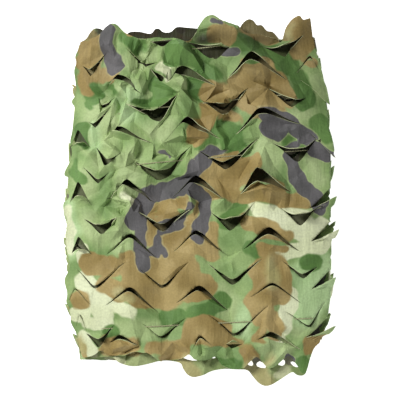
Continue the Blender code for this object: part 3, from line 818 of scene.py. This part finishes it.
# The flaps along the cut edges curl up: layer, x, y, half the width, half the height, how high.
FLAP_CURLS = (
    (5, 0.012, 0.202, 0.014, 0.014, 0.010),
    (5, -0.102, 0.196, 0.010, 0.014, 0.007),
    (5, 0.112, 0.200, 0.012, 0.014, 0.009),
    (5, 0.030, 0.196, 0.016, 0.010, 0.004),
    (5, 0.118, -0.196, 0.012, 0.012, 0.006),
    (4, 0.074, -0.206, 0.030, 0.014, 0.004),
    (4, -0.008, -0.198, 0.030, 0.012, 0.003),
)
for layer, *spot, rise in FLAP_CURLS:
    curl = soft_spot(places[:, 0], places[:, 1], *spot)
    places[:, 2] += np.where(layers == layer, rise * curl, 0.0)

# The cloth of the top layer then settles: every edge between two points takes the length that it had
# before its tongue turned, a little less along the pack. So slits gape, bands pucker and tongues
# stay stiff, while each fold keeps about the bend it was given.
WIDER = 1.004
SHORTER = 0.972
SETTLE_TURNS = 110
EDGE_SHARE = 0.5
BEND_SHARE = 0.2
PUSH = 1.7
PULL_HOME = 0.02
HELD_BY_FOLD = 0.006
LAYER_GAP = 0.0028
HIGHEST_CREST = 0.051
CREST_CUT = 0.6
pairs = np.sort(np.concatenate([triangles[:, ends] for ends in ([0, 1], [1, 2], [2, 0])]), axis=1)
opposite = np.concatenate([triangles[:, 2], triangles[:, 0], triangles[:, 1]])
order = np.lexsort((pairs[:, 1], pairs[:, 0]))
pairs, opposite = pairs[order], opposite[order]
same = np.all(pairs[1:] == pairs[:-1], axis=1)
edges = pairs[np.concatenate([[True], ~same])]
bends = np.stack([opposite[1:][same], opposite[:-1][same]], axis=1)
loose = on_top & (flat[:, 0] > TOP * LAYER_PERIOD + HELD_BY_FOLD)
edges = edges[loose[edges].any(axis=1)]
bends = bends[loose[bends].any(axis=1)]


def lengths_in(shape, pairs):
    """How far apart the points of each pair are in this shape."""
    return np.linalg.norm(shape[pairs[:, 1]] - shape[pairs[:, 0]], axis=1)


def cloth_lengths(pairs):
    """How far apart the cloth holds the points of each pair."""
    return lengths_in(stiff * (WIDER, SHORTER, 1.0), pairs)


edge_lengths = cloth_lengths(edges)
drawn_back = in_tongue[edges].any(axis=1)
edge_lengths = np.where(drawn_back, np.minimum(edge_lengths, lengths_in(places, edges)), edge_lengths)
bend_lengths = np.minimum(lengths_in(places, bends), cloth_lengths(bends))
home = places.copy()
pull = np.where(loose, PULL_HOME, 0.0)[:, None]
layer_below = layer_height(np.full(len(flat), TOP - 1), across, flat[:, 1]) + LAYER_GAP
for _ in range(SETTLE_TURNS):
    for links, lengths, share in ((edges, edge_lengths, EDGE_SHARE), (bends, bend_lengths, BEND_SHARE)):
        step = places[links[:, 1]] - places[links[:, 0]]
        long = np.linalg.norm(step, axis=1)
        push = step * (share * (long - lengths) / long)[:, None]
        moved = np.zeros_like(places)
        for axis in range(3):
            moved[:, axis] = np.bincount(links[:, 0], push[:, axis], minlength=len(places))
            moved[:, axis] -= np.bincount(links[:, 1], push[:, axis], minlength=len(places))
        links_each = np.bincount(links.ravel(), minlength=len(places))
        places += moved * np.where(loose, PUSH / np.maximum(1, links_each), 0.0)[:, None]
    places += (home - places) * pull
    places[:, 2] = np.where(loose, np.maximum(places[:, 2], layer_below), places[:, 2])
places[:, 2] = np.maximum(places[:, 2], CLOTH_THICKNESS / 2)
places[:, 2] -= CREST_CUT * np.maximum(0.0, places[:, 2] - HIGHEST_CREST)

# The settled sheet gets its thickness. Its crumples are shaded flat and its creases sharp.
FLAT_FROM = 0.5
SHARP_ANGLE = 0.11
cloth_mesh = bpy.data.meshes.new("camouflage_cloth")
cloth_mesh.from_pydata(places.tolist(), [], triangles.tolist())
cloth = bpy.data.objects.new("camouflage_cloth", cloth_mesh)
bpy.context.collection.objects.link(cloth)
normals = {}
for polygon in cloth_mesh.polygons:
    polygon.use_smooth = float(crumpled[list(polygon.vertices)].mean()) < FLAT_FROM
    for pair in polygon.edge_keys:
        normals.setdefault(pair, []).append(polygon.normal.copy())
for edge in cloth_mesh.edges:
    facing = normals[edge.key]
    if edge.key in creases and len(facing) == 2 and facing[0].angle(facing[1], 0.0) > SHARP_ANGLE:
        edge.use_edge_sharp = True
thicken = cloth.modifiers.new("thickness", "SOLIDIFY")
thicken.thickness = CLOTH_THICKNESS
thicken.offset = 0.0

# The print: woodland camouflage in brown, dark grey, pale and deep green on a middle green, laid on
# in strokes, each with half its width and its middle line, in 400ths of the picture. An
# attribute for each colour says how far inside its strokes a point is.
STROKES = {
    "olive": (
        (14, (98, 108), (92, 142)), (13, (112, 118), (104, 158)), (13, (126, 160), (130, 202)),
        (11, (126, 90), (144, 98)), (10, (130, 62), (150, 56)), (9, (176, 76), (186, 82)),
        (10, (152, 132), (166, 126)), (9, (84, 176), (88, 190)), (12, (268, 146), (272, 162)),
        (9, (296, 118), (306, 112)), (8, (312, 160), (318, 178)), (7, (312, 82), (316, 92)),
        (6, (104, 112), (112, 120)), (12, (88, 222), (104, 236)), (10, (118, 222), (122, 244)),
        (12, (222, 296), (230, 316)), (12, (116, 332), (150, 330)), (10, (270, 344), (282, 348)),
        (10, (264, 345), (276, 350)), (7, (280, 376), (292, 371)), (9, (296, 206), (310, 208)),
        (8, (242, 190), (246, 214)), (7, (130, 364), (150, 360)), (8, (298, 331), (318, 328)),
    ),
    "mint": (
        (7, (130, 90), (140, 96)), (7, (94, 132), (96, 144)), (7, (122, 106), (132, 118)),
        (17, (308, 272), (310, 290), (304, 312)), (9, (326, 262), (330, 300)),
        (7, (66, 204), (72, 228), (70, 254)), (7, (244, 312), (243, 330)),
    ),
    "pale": (
        (6, (160, 64), (166, 74)), (5, (130, 194), (134, 204)), (5, (67, 210), (70, 232), (70, 252)),
        (5, (80, 248), (82, 260)), (11, (84, 280), (98, 300), (104, 318)), (6, (74, 314), (86, 315)),
        (8, (104, 300), (130, 311)), (7, (90, 322), (106, 326)), (6, (84, 338), (91, 353)),
        (9, (258, 210), (276, 212)), (15, (284, 218), (300, 226), (318, 238)),
        (7, (318, 224), (333, 235)), (7, (302, 248), (322, 246)), (9, (284, 252), (300, 251)),
        (7, (322, 238), (334, 232)), (9, (290, 294), (286, 316), (282, 330)),
        (5, (276, 376), (284, 373)), (4, (116, 360), (122, 363)),
    ),
    "deep": (
        # The third stroke on the next line is deep green print that runs on across the V's gap as painted
        # shade.
        (10, (88, 82), (92, 95)), (6, (82, 128), (84, 142)), (8, (144, 102), (162, 106)),
        (5, (76, 160), (74, 171), (82, 179)), (7, (156, 86), (170, 94)),
        (12, (172, 56), (186, 46), (202, 60)), (7, (124, 40), (140, 46)), (4, (86, 102), (90, 108)),
        (5, (112, 86), (116, 94)), (10, (204, 66), (212, 74)), (9, (196, 76), (198, 92)),
        (12, (242, 42), (256, 50)), (13, (266, 54), (288, 64)), (11, (299, 78), (306, 100)),
        (12, (226, 130), (236, 148)), (8, (202, 146), (210, 138)), (8, (290, 142), (300, 150)),
        (9, (318, 122), (326, 132)), (4, (156, 30), (170, 33)), (10, (194, 314), (222, 302)),
        (9, (306, 262), (314, 264)), (6, (250, 248), (258, 254)), (6, (112, 330), (106, 335)),
        (9, (168, 316), (180, 318)), (9, (303, 366), (304, 376)), (6, (216, 364), (238, 366)),
        (8, (240, 208), (226, 224)),
    ),
    "brown": (
        (10, (84, 48), (98, 50)), (9, (82, 60), (94, 60)), (5, (86, 66), (90, 80)),
        (6, (104, 70), (112, 75)), (7, (84, 76), (85, 90)), (5, (94, 77), (104, 76)),
        (11, (210, 92), (230, 98)), (12, (240, 84), (264, 78)), (8, (245, 70), (263, 67)),
        (15, (246, 100), (272, 92)), (10, (278, 82), (284, 100)), (9, (262, 108), (276, 110)),
        (9, (208, 110), (200, 126), (196, 140)), (6, (222, 112), (234, 118)),
        (11, (302, 24), (307, 40), (301, 50)), (5, (304, 59), (312, 61)),
        (9, (247, 26), (262, 32), (270, 38)), (10, (217, 35), (226, 38)), (10, (206, 174), (222, 169)),
        (13, (216, 184), (238, 174)), (9, (236, 168), (256, 164)), (8, (208, 193), (234, 194)),
        (9, (246, 195), (272, 197), (306, 201)), (7, (252, 182), (270, 184), (280, 190)),
        (4, (129, 32), (152, 33)), (8, (246, 22), (262, 30)), (12, (90, 266), (112, 267)),
        (10, (106, 284), (122, 292)), (12, (130, 262), (134, 288)), (17, (142, 292), (168, 294)),
        (22, (158, 268), (180, 272)), (13, (160, 232), (184, 240)), (14, (190, 288), (202, 286)),
        (8, (211, 230), (213, 256)), (7, (194, 246), (204, 250)), (8, (246, 222), (262, 226)),
        (6, (266, 226), (288, 238)), (4, (262, 245), (284, 247)), (5, (262, 253), (272, 258)),
        (21, (270, 274), (272, 286)), (13, (258, 300), (264, 316)), (10, (270, 318), (276, 326)),
        (6, (262, 330), (258, 336)), (9, (76, 299), (82, 300)), (15, (196, 330), (216, 332)),
        (6, (224, 341), (236, 342)), (9, (108, 348), (134, 346)), (7, (150, 347), (184, 348)),
        (6, (166, 355), (180, 354)), (8, (246, 352), (252, 358)), (8, (310, 346), (322, 340)),
        (3, (81, 348), (84, 357)), (12, (166, 206), (170, 222)),
        (6, (199, 200), (194, 214), (184, 228)), (5, (146, 222), (147, 244)),
        (4, (153, 210), (158, 218)), (6, (176, 204), (184, 205)), (4, (182, 194), (184, 202)),
        (5, (154, 206), (152, 226), (151, 242)), (6, (91, 33), (95, 38)), (9, (284, 30), (298, 22)),
        (3, (176, 36), (192, 38)),
    ),
    "tan": (
        (12, (254, 370), (264, 384)), (8, (186, 362), (194, 376)), (5, (264, 364), (272, 357)),
        # The second and third strokes on the next line are painted light: brown cloth where it is lit,
        # given in tan.
        (3, (79, 340), (82, 352)), (5, (120, 293), (130, 298)), (6, (270, 262), (272, 280)),
        (3, (287, 34), (292, 25)),
    ),
    "grey": (
        # The two strokes on the next line are painted shade: the dark cloth between the holes of the low
        # flaps.
        (3, (255, 359), (257, 361)), (3, (287, 358), (291, 361)),
        (8, (109, 30), (108, 42), (111, 54), (113, 66)), (6, (229, 52), (230, 54)),
        (3, (213, 21), (218, 23)), (5, (165, 153), (169, 158)), (3, (178, 30), (186, 31)),
        (7, (214, 154), (220, 156)), (8, (206, 161), (194, 171), (186, 180)),
        (9, (178, 186), (152, 192)), (10, (150, 197), (139, 211), (137, 221)),
        (7, (140, 226), (142, 244), (143, 265)), (5, (146, 252), (158, 253)),
        (3, (157, 239), (159, 248), (166, 256)), (7, (192, 184), (204, 198), (205, 214), (200, 226)),
        (5, (197, 234), (199, 239)), (4, (162, 231), (174, 228), (184, 218), (189, 204)),
        (11, (270, 126), (279, 130)), (8, (296, 132), (310, 138)), (9, (314, 148), (328, 153)),
        (7, (294, 146), (290, 158), (293, 170), (300, 182)), (7, (304, 188), (316, 198), (319, 208)),
        (4, (262, 112), (280, 116), (294, 123)),
    ),
}
FAR_OUTSIDE = -60.0
# The layers below the two upper ones have the same print, turned and shifted.
PRINT_HEIGHT = 340.0
PRINT_LOW = 30.0
PRINT_SHIFT = 90.0
before_tongues = laid(flat[:, 0], flat[:, 1])[0]
picture_x = PICTURE_MIDDLE[0] + (before_tongues[:, 0] - PACK_SHIFT[0]) / PICTURE_STEP
picture_y = PICTURE_MIDDLE[1] - (before_tongues[:, 1] - PACK_SHIFT[1]) / PICTURE_STEP
hidden = np.where(layers >= TOP - 1, 0, (TOP - layers) % 4)
picture_x = np.where(hidden % 2 == 1, 2.0 * PICTURE_MIDDLE[0] - picture_x, picture_x)
shifted = PRINT_LOW + (picture_y + PRINT_SHIFT * hidden) % PRINT_HEIGHT
picture_y = np.where(hidden == 0, picture_y, shifted)


def mark(name, values):
    """Give the cloth's points an attribute that its material reads."""
    attribute = cloth_mesh.attributes.new(name, "FLOAT", "POINT")
    attribute.data.foreach_set("value", values.astype(np.float32))


for name, strokes in STROKES.items():
    depth = np.full(len(flat), FAR_OUTSIDE)
    for radius, *line in strokes:
        for (ax, ay), (bx, by) in zip(line, line[1:]):
            length = (bx - ax) ** 2 + (by - ay) ** 2
            share = ((picture_x - ax) * (bx - ax) + (picture_y - ay) * (by - ay)) / length
            share = np.clip(share, 0.0, 1.0)
            away = np.hypot(picture_x - ax - share * (bx - ax), picture_y - ay - share * (by - ay))
            depth = np.maximum(depth, radius - away)
    mark(name, depth)

# Painted shade: how dark the cloth is painted in the pack's shade, from -0.5 for open cloth to 0.5
# for nearly black. The layers below get some under the top one, and the high end of the second layer
# lies in painted shade in two places, given in 400ths of the picture as the holes are.
OPEN = -0.5
NEVER_SHADED = -1.0
UNDER_TOP = 0.16
OPEN_PAST = 0.160
OPEN_SIDES_PAST = 0.93
HIGH_END_SHADE = 0.42
HIGH_END_RIGHT = 0.07
HIGH_END_LEFT = -0.12
RIGHT_FROM_X = 230.0
SHADED_FROM_X = 96.0
SHADED_TO_X = 238.0
CORNER_FROM_X = 262.0
CORNER_FROM_Y = 39.0
# Painted shade in the holes by the second layer's left edge: how dark, its middle and half its size.
LEFT_HOLES_SHADE = 0.2
LEFT_HOLES_MIDDLE = (82.0, 190.0)
LEFT_HOLES_HALF_SIZE = (13.0, 72.0)
# Painted shade on the top layer: a little darker towards its high end, there most at the right,
# and in soft spots: x, y, half the width and half the height in 400ths of the picture, and how much.
PAINTED_SHADE_BELOW_Y = 150.0
PAINTED_SHADE_RANGE = 60.0
PAINTED_SHADE_ON_TOP = 0.14
PAINTED_SHADE_AT_RIGHT = 0.16
RIGHT_RANGE = (170.0, 240.0)
PAINTED_SHADE_SPOTS = (
    (262.0, 36.0, 16.0, 6.0, 0.22),
    (203.0, 39.0, 10.0, 7.0, 0.60),
    (240.0, 39.0, 50.0, 8.0, 0.20),
    (102.0, 56.0, 16.0, 26.0, 0.18),
)
open_cloth = on_top | (abs(flat[:, 1]) > OPEN_PAST) | (abs(across) > OPEN_SIDES_PAST)
shade = np.where(open_cloth, NEVER_SHADED, UNDER_TOP)
second_layer = layers == TOP - 1
in_shade = (picture_x > SHADED_FROM_X) & (picture_x < SHADED_TO_X)
in_shade |= (picture_x > CORNER_FROM_X) & (picture_y > CORNER_FROM_Y)
high_end_shade = np.where(picture_x > RIGHT_FROM_X, HIGH_END_RIGHT, HIGH_END_LEFT)
high_end_shade = np.where(in_shade, HIGH_END_SHADE, high_end_shade)
shade = np.where(second_layer & (flat[:, 1] > OPEN_PAST), high_end_shade, shade)
# Painted shade on the top layer, darker towards its high end and in soft spots.
top_painted_shade = PAINTED_SHADE_ON_TOP + PAINTED_SHADE_AT_RIGHT * smooth(picture_x, *RIGHT_RANGE)
top_painted_shade *= smooth(PAINTED_SHADE_BELOW_Y - picture_y, 0.0, PAINTED_SHADE_RANGE)
for *spot, more in PAINTED_SHADE_SPOTS:
    top_painted_shade += more * soft_spot(picture_x, picture_y, *spot)
shade = np.where(on_top, OPEN + top_painted_shade, shade)
# Painted shade in the holes near the second layer's left edge.
from_holes = abs(np.stack([picture_x, picture_y], axis=1) - LEFT_HOLES_MIDDLE)
left_holes = second_layer & (from_holes < LEFT_HOLES_HALF_SIZE).all(axis=1)
mark("painted_shade", np.where(left_holes, LEFT_HOLES_SHADE, shade))
flat_map = cloth_mesh.uv_layers.new(name="flat_cloth")
loop_points = np.zeros(len(cloth_mesh.loops), np.int32)
cloth_mesh.loops.foreach_get("vertex_index", loop_points)
flat_map.data.foreach_set("uv", flat[loop_points].astype(np.float32).ravel())


def paint(red, green, blue):
    """A colour as seen on screen, for a shader."""
    shares = [part / 255 for part in (red, green, blue)]
    return [s / 12.92 if s < 0.04045 else ((s + 0.055) / 1.055) ** 2.4 for s in shares] + [1.0]


def fill(node, inputs):
    """Set a shader node's inputs, each to a value or to another node's output."""
    for socket, value in inputs.items():
        if isinstance(value, bpy.types.NodeSocket):
            node.id_data.links.new(value, node.inputs[socket])
        else:
            node.inputs[socket].default_value = value


def new_finish(name, inputs):
    """A new material, with the inputs of its main shader."""
    finish = bpy.data.materials.new(name)
    finish.use_nodes = True
    fill(finish.node_tree.nodes["Principled BSDF"], inputs)
    return finish


# The colours of the print: each darker and lighter, and how soft its edge is.
GROUND = paint(118, 146, 88), paint(148, 172, 112)
COLOURS = {
    "olive": (paint(154, 174, 118), paint(170, 188, 134), 6.0),
    "mint": (paint(160, 188, 132), paint(176, 202, 148), 5.0),
    "pale": (paint(206, 213, 171), paint(219, 225, 187), 1.3),
    "deep": (paint(82, 116, 58), paint(104, 138, 76), 1.3),
    "brown": (paint(144, 124, 74), paint(172, 152, 100), 1.3),
    "tan": (paint(168, 160, 106), paint(186, 178, 128), 4.0),
    "grey": (paint(88, 87, 87), paint(106, 104, 105), 0.5),
}
# How far the edges wander, in 400ths of the picture, and the faint pale rim round the grey.
EDGE_WOBBLE = 2.6
GREY_RIM = paint(204, 204, 158)
GREY_RIM_RANGE = (-1.8, -0.6)
GREY_RIM_SHARE = 0.22
DEEP_SHADE = paint(33, 28, 17)
DEEPEST_SHADE_SHARE = 0.95
DARK_MOTTLE = (0.55, 0.55, 0.55, 1.0)
LIGHT_MOTTLE = (1.25, 1.25, 1.25, 1.0)
MOTTLE_SHARE = 0.22
STREAKS_DRAWN_OUT = (1.0, 0.16, 1.0)


def printed_polyester(name, fade_to, fading):
    """Printed cloth. The print is fainter on the cloth's reverse, which fades towards its own colour."""
    finish = new_finish(name, {"Roughness": 0.6, "Specular IOR Level": 0.2})
    nodes = finish.node_tree.nodes

    def added(kind, inputs, **settings):
        """A new shader node's outputs."""
        node = nodes.new("ShaderNode" + kind)
        for setting, value in settings.items():
            setattr(node, setting, value)
        fill(node, inputs)
        return node.outputs

    flat_place = added("TexCoord", {})["UV"]

    def noise(scale, detail, place=flat_place):
        """Soft, irregular values from 0 to 1 over the flat cloth."""
        return added("TexNoise", {"Scale": scale, "Detail": detail, "Vector": place})["Fac"]

    def scaled(value, low, high, to_low=0.0, to_high=1.0):
        """A value taken softly from one range to another."""
        inputs = {"Value": value, "From Min": low, "From Max": high, "To Min": to_low, "To Max": to_high}
        return added("MapRange", inputs, interpolation_type="SMOOTHSTEP")["Result"]

    def mixed(share, first, second, how="MIX"):
        """Two colours mixed, with this share of the second."""
        inputs = {"Factor": share, 6: first, 7: second}
        return added("Mix", inputs, data_type="RGBA", blend_type=how)[2]

    def attribute(name):
        """A value that the cloth's points carry."""
        return added("Attribute", {}, attribute_name=name)["Fac"]

    wobble = scaled(noise(45.0, 1.5), 0.25, 0.75, -EDGE_WOBBLE, EDGE_WOBBLE)
    blotch = scaled(noise(26.0, 1.0), 0.36, 0.66)
    mottle = scaled(noise(420.0, 4.0), 0.3, 0.7)
    colour = mixed(blotch, *GROUND)
    for part, (tint, light_tint, softness) in COLOURS.items():
        edge = added("Math", {0: attribute(part), 1: wobble})[0]
        if part == "grey":
            rim = mixed(GREY_RIM_SHARE, colour, GREY_RIM)
            colour = mixed(scaled(edge, *GREY_RIM_RANGE), colour, rim)
        colour = mixed(scaled(edge, -softness, softness), colour, mixed(blotch, tint, light_tint))
    colour = mixed(fading, colour, fade_to)
    # Painted shade: the colour is mixed towards a near-black brown where the cloth lies in the pack's
    # shade.
    painted_shade = scaled(attribute("painted_shade"), -0.5, 0.5, 0.0, DEEPEST_SHADE_SHARE)
    colour = mixed(painted_shade, colour, DEEP_SHADE)
    colour = mixed(MOTTLE_SHARE, colour, mixed(mottle, DARK_MOTTLE, LIGHT_MOTTLE), "MULTIPLY")
    drawn_out = added("VectorMath", {0: flat_place, 1: STREAKS_DRAWN_OUT}, operation="MULTIPLY")[0]
    streaks = noise(190.0, 2.0, drawn_out)
    rumple = added("Bump", {"Strength": 0.6, "Distance": 0.0018, "Height": streaks})["Normal"]
    weave = added("TexBrick", {"Scale": 1400.0, "Mortar Size": 0.12, "Vector": flat_place})["Fac"]
    threads = {"Strength": 0.11, "Distance": 0.0001, "Height": weave, "Normal": rumple}
    fill(nodes["Principled BSDF"], {"Base Color": colour, "Normal": added("Bump", threads)["Normal"]})
    return finish


cloth_mesh.materials.append(printed_polyester("printed_face", paint(160, 160, 110), 0.0))
cloth_mesh.materials.append(printed_polyester("printed_reverse", paint(160, 158, 112), 0.35))
cut_edge = {"Base Color": paint(188, 194, 150), "Roughness": 0.8}
cloth_mesh.materials.append(new_finish("pale_cut_edge", cut_edge))
thicken.material_offset = 1
thicken.material_offset_rim = 2
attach(cloth, "root")
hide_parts("net_cloth")

# The cords: fine two-strand twine along each row of slits of the top layer, behind the bands of cloth,
# and in two rows in front of the V-shaped tongues. It holds the net together when it hangs.
CORD_DIAMETER = 0.0014
CORD_ABOVE_TIP = 0.0185
ROWS_IN_FRONT = (0, 3)
CORD_REACH = LAYER_WIDTH / 2 - 0.016
CORD_BESIDE_CLOTH = 0.8 * CORD_DIAMETER
CORD_STEPS = 96
TWINE_STEPS = 480
TWINE_LAY = 0.006
STRAND_SIDES = 6
ABOVE_PACK = 0.08
DOWN = Vector((0, 0, -1))
settled_cloth = BVHTree.FromPolygons([Vector(place) for place in places], triangles.tolist())
twine_finish = new_finish("olive_twine", {"Base Color": paint(164, 162, 126), "Roughness": 0.8})
for row in range(ROWS):
    steps = np.linspace(-CORD_REACH, CORD_REACH, CORD_STEPS + 1)
    y = LOWEST_ROW + row * ROW_PITCH + CORD_ABOVE_TIP
    line = laid(distance_at(TOP, steps), np.full(len(steps), y))[0]
    heights = np.full(len(steps), np.nan)
    for step, place in enumerate(line):
        hit, _, face, _ = settled_cloth.ray_cast(Vector((place[0], place[1], ABOVE_PACK)), DOWN)
        if hit is not None and layers[triangles[face][0]] == TOP:
            side = 1.0 if row in ROWS_IN_FRONT and in_v_tongue[triangles[face]].all() else -1.0
            heights[step] = hit.z + side * (CLOTH_THICKNESS / 2 + CORD_BESIDE_CLOTH)
    met = ~np.isnan(heights)
    line[:, 2] = np.interp(steps, steps[met], heights[met])
    for _ in range(3):
        line[1:-1, 2] = 0.25 * line[:-2, 2] + 0.5 * line[1:-1, 2] + 0.25 * line[2:, 2]
    length = np.concatenate([[0.0], np.cumsum(np.linalg.norm(np.diff(line, axis=0), axis=1))])
    ahead = np.gradient(line, axis=0)
    ahead /= np.linalg.norm(ahead, axis=1)[:, None]
    sideways = np.cross(ahead, (0.0, 0.0, 1.0))
    fine = np.linspace(0.0, length[-1], TWINE_STEPS)
    rail, rail_side, rail_up = (
        np.stack([np.interp(fine, length, way[:, axis]) for axis in range(3)], axis=1)
        for way in (line, sideways, np.cross(sideways, ahead))
    )
    twine_points, twine_faces = [], []
    for strand in (0.0, math.pi):
        spin = 2.0 * math.pi * fine / TWINE_LAY + strand
        core = rail_side * np.cos(spin)[:, None] + rail_up * np.sin(spin)[:, None]
        core = rail + core * CORD_DIAMETER / 4
        first = len(twine_points)
        starts = [first + side * TWINE_STEPS for side in range(STRAND_SIDES)]
        for side, here in enumerate(starts):
            angle = 2.0 * math.pi * side / STRAND_SIDES
            ring = core + (rail_side * math.cos(angle) + rail_up * math.sin(angle)) * CORD_DIAMETER / 4
            twine_points.extend(ring.tolist())
            beside = starts[(side + 1) % STRAND_SIDES]
            for step in range(TWINE_STEPS - 1):
                twine_faces.append((here + step, here + step + 1, beside + step + 1, beside + step))
        twine_faces.append(starts)
        twine_faces.append([start + TWINE_STEPS - 1 for start in reversed(starts)])
    twine_mesh = bpy.data.meshes.new(f"woven_twine_{row + 1}")
    twine_mesh.from_pydata(twine_points, [], twine_faces)
    twine_mesh.polygons.foreach_set("use_smooth", [True] * len(twine_mesh.polygons))
    twine_mesh.materials.append(twine_finish)
    twine = bpy.data.objects.new(f"woven_twine_{row + 1}", twine_mesh)
    bpy.context.collection.objects.link(twine)
    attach(twine, "root")
    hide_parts(f"net_cord_{row + 1}")

# The floor: a plain white studio surface under the pack. It gives off some light of its own, so that
# it comes out as white as in the photo.
FLOOR_SIZE = 3.0
FLOOR_WHITE = (0.92, 0.92, 0.92, 1)
FLOOR_GLOW = 0.80
bpy.ops.mesh.primitive_plane_add(size=FLOOR_SIZE, location=(0.0, 0.0, 0.0))
floor = bpy.context.object
floor.name = "studio_floor"
white = {"Base Color": FLOOR_WHITE, "Emission Color": (1, 1, 1, 1), "Emission Strength": FLOOR_GLOW}
floor.data.materials.append(new_finish("white_floor", white))

# The studio: faint light from all round, a large soft lamp beyond the top left of the picture, and a
# smaller one that fills the shadows from the low right.
WORLD_LIGHT = 0.12
LAMPS = (
    ("soft_lamp", 54.5, 0.66, (-1.38, 0.90, 1.54)),
    ("fill_lamp", 7.4, 0.50, (0.62, -1.02, 0.84)),
)
world = bpy.data.worlds.new("studio")
bpy.context.scene.world = world
world.use_nodes = True
fill(world.node_tree.nodes["Background"], {"Color": (1, 1, 1, 1), "Strength": WORLD_LIGHT})
for name, energy, size, place in LAMPS:
    lamp_data = bpy.data.lights.new(name, "AREA")
    lamp_data.energy = energy
    lamp_data.size = size
    lamp = bpy.data.objects.new(name, lamp_data)
    lamp.location = place
    lamp.rotation_euler = Vector(place).to_track_quat("Z", "Y").to_euler()
    bpy.context.collection.objects.link(lamp)

# The camera: straight above, as the photo has it, with a long lens. The field is the picture's width
# at about half the pack's height.
FIELD = 0.4572
CAMERA_HEIGHT = 2.4
FIELD_HEIGHT = 0.03
CAMERA_OVER = (-0.0010, 0.0012)
SENSOR_WIDTH = 36.0
camera_data = bpy.data.cameras.new("camera")
camera_data.sensor_width = SENSOR_WIDTH
camera_data.lens = SENSOR_WIDTH * (CAMERA_HEIGHT - FIELD_HEIGHT) / FIELD
camera = bpy.data.objects.new("camera", camera_data)
camera.location = (*CAMERA_OVER, CAMERA_HEIGHT)
bpy.context.collection.objects.link(camera)
bpy.context.scene.camera = camera
bpy.context.scene.view_settings.view_transform = "Standard"
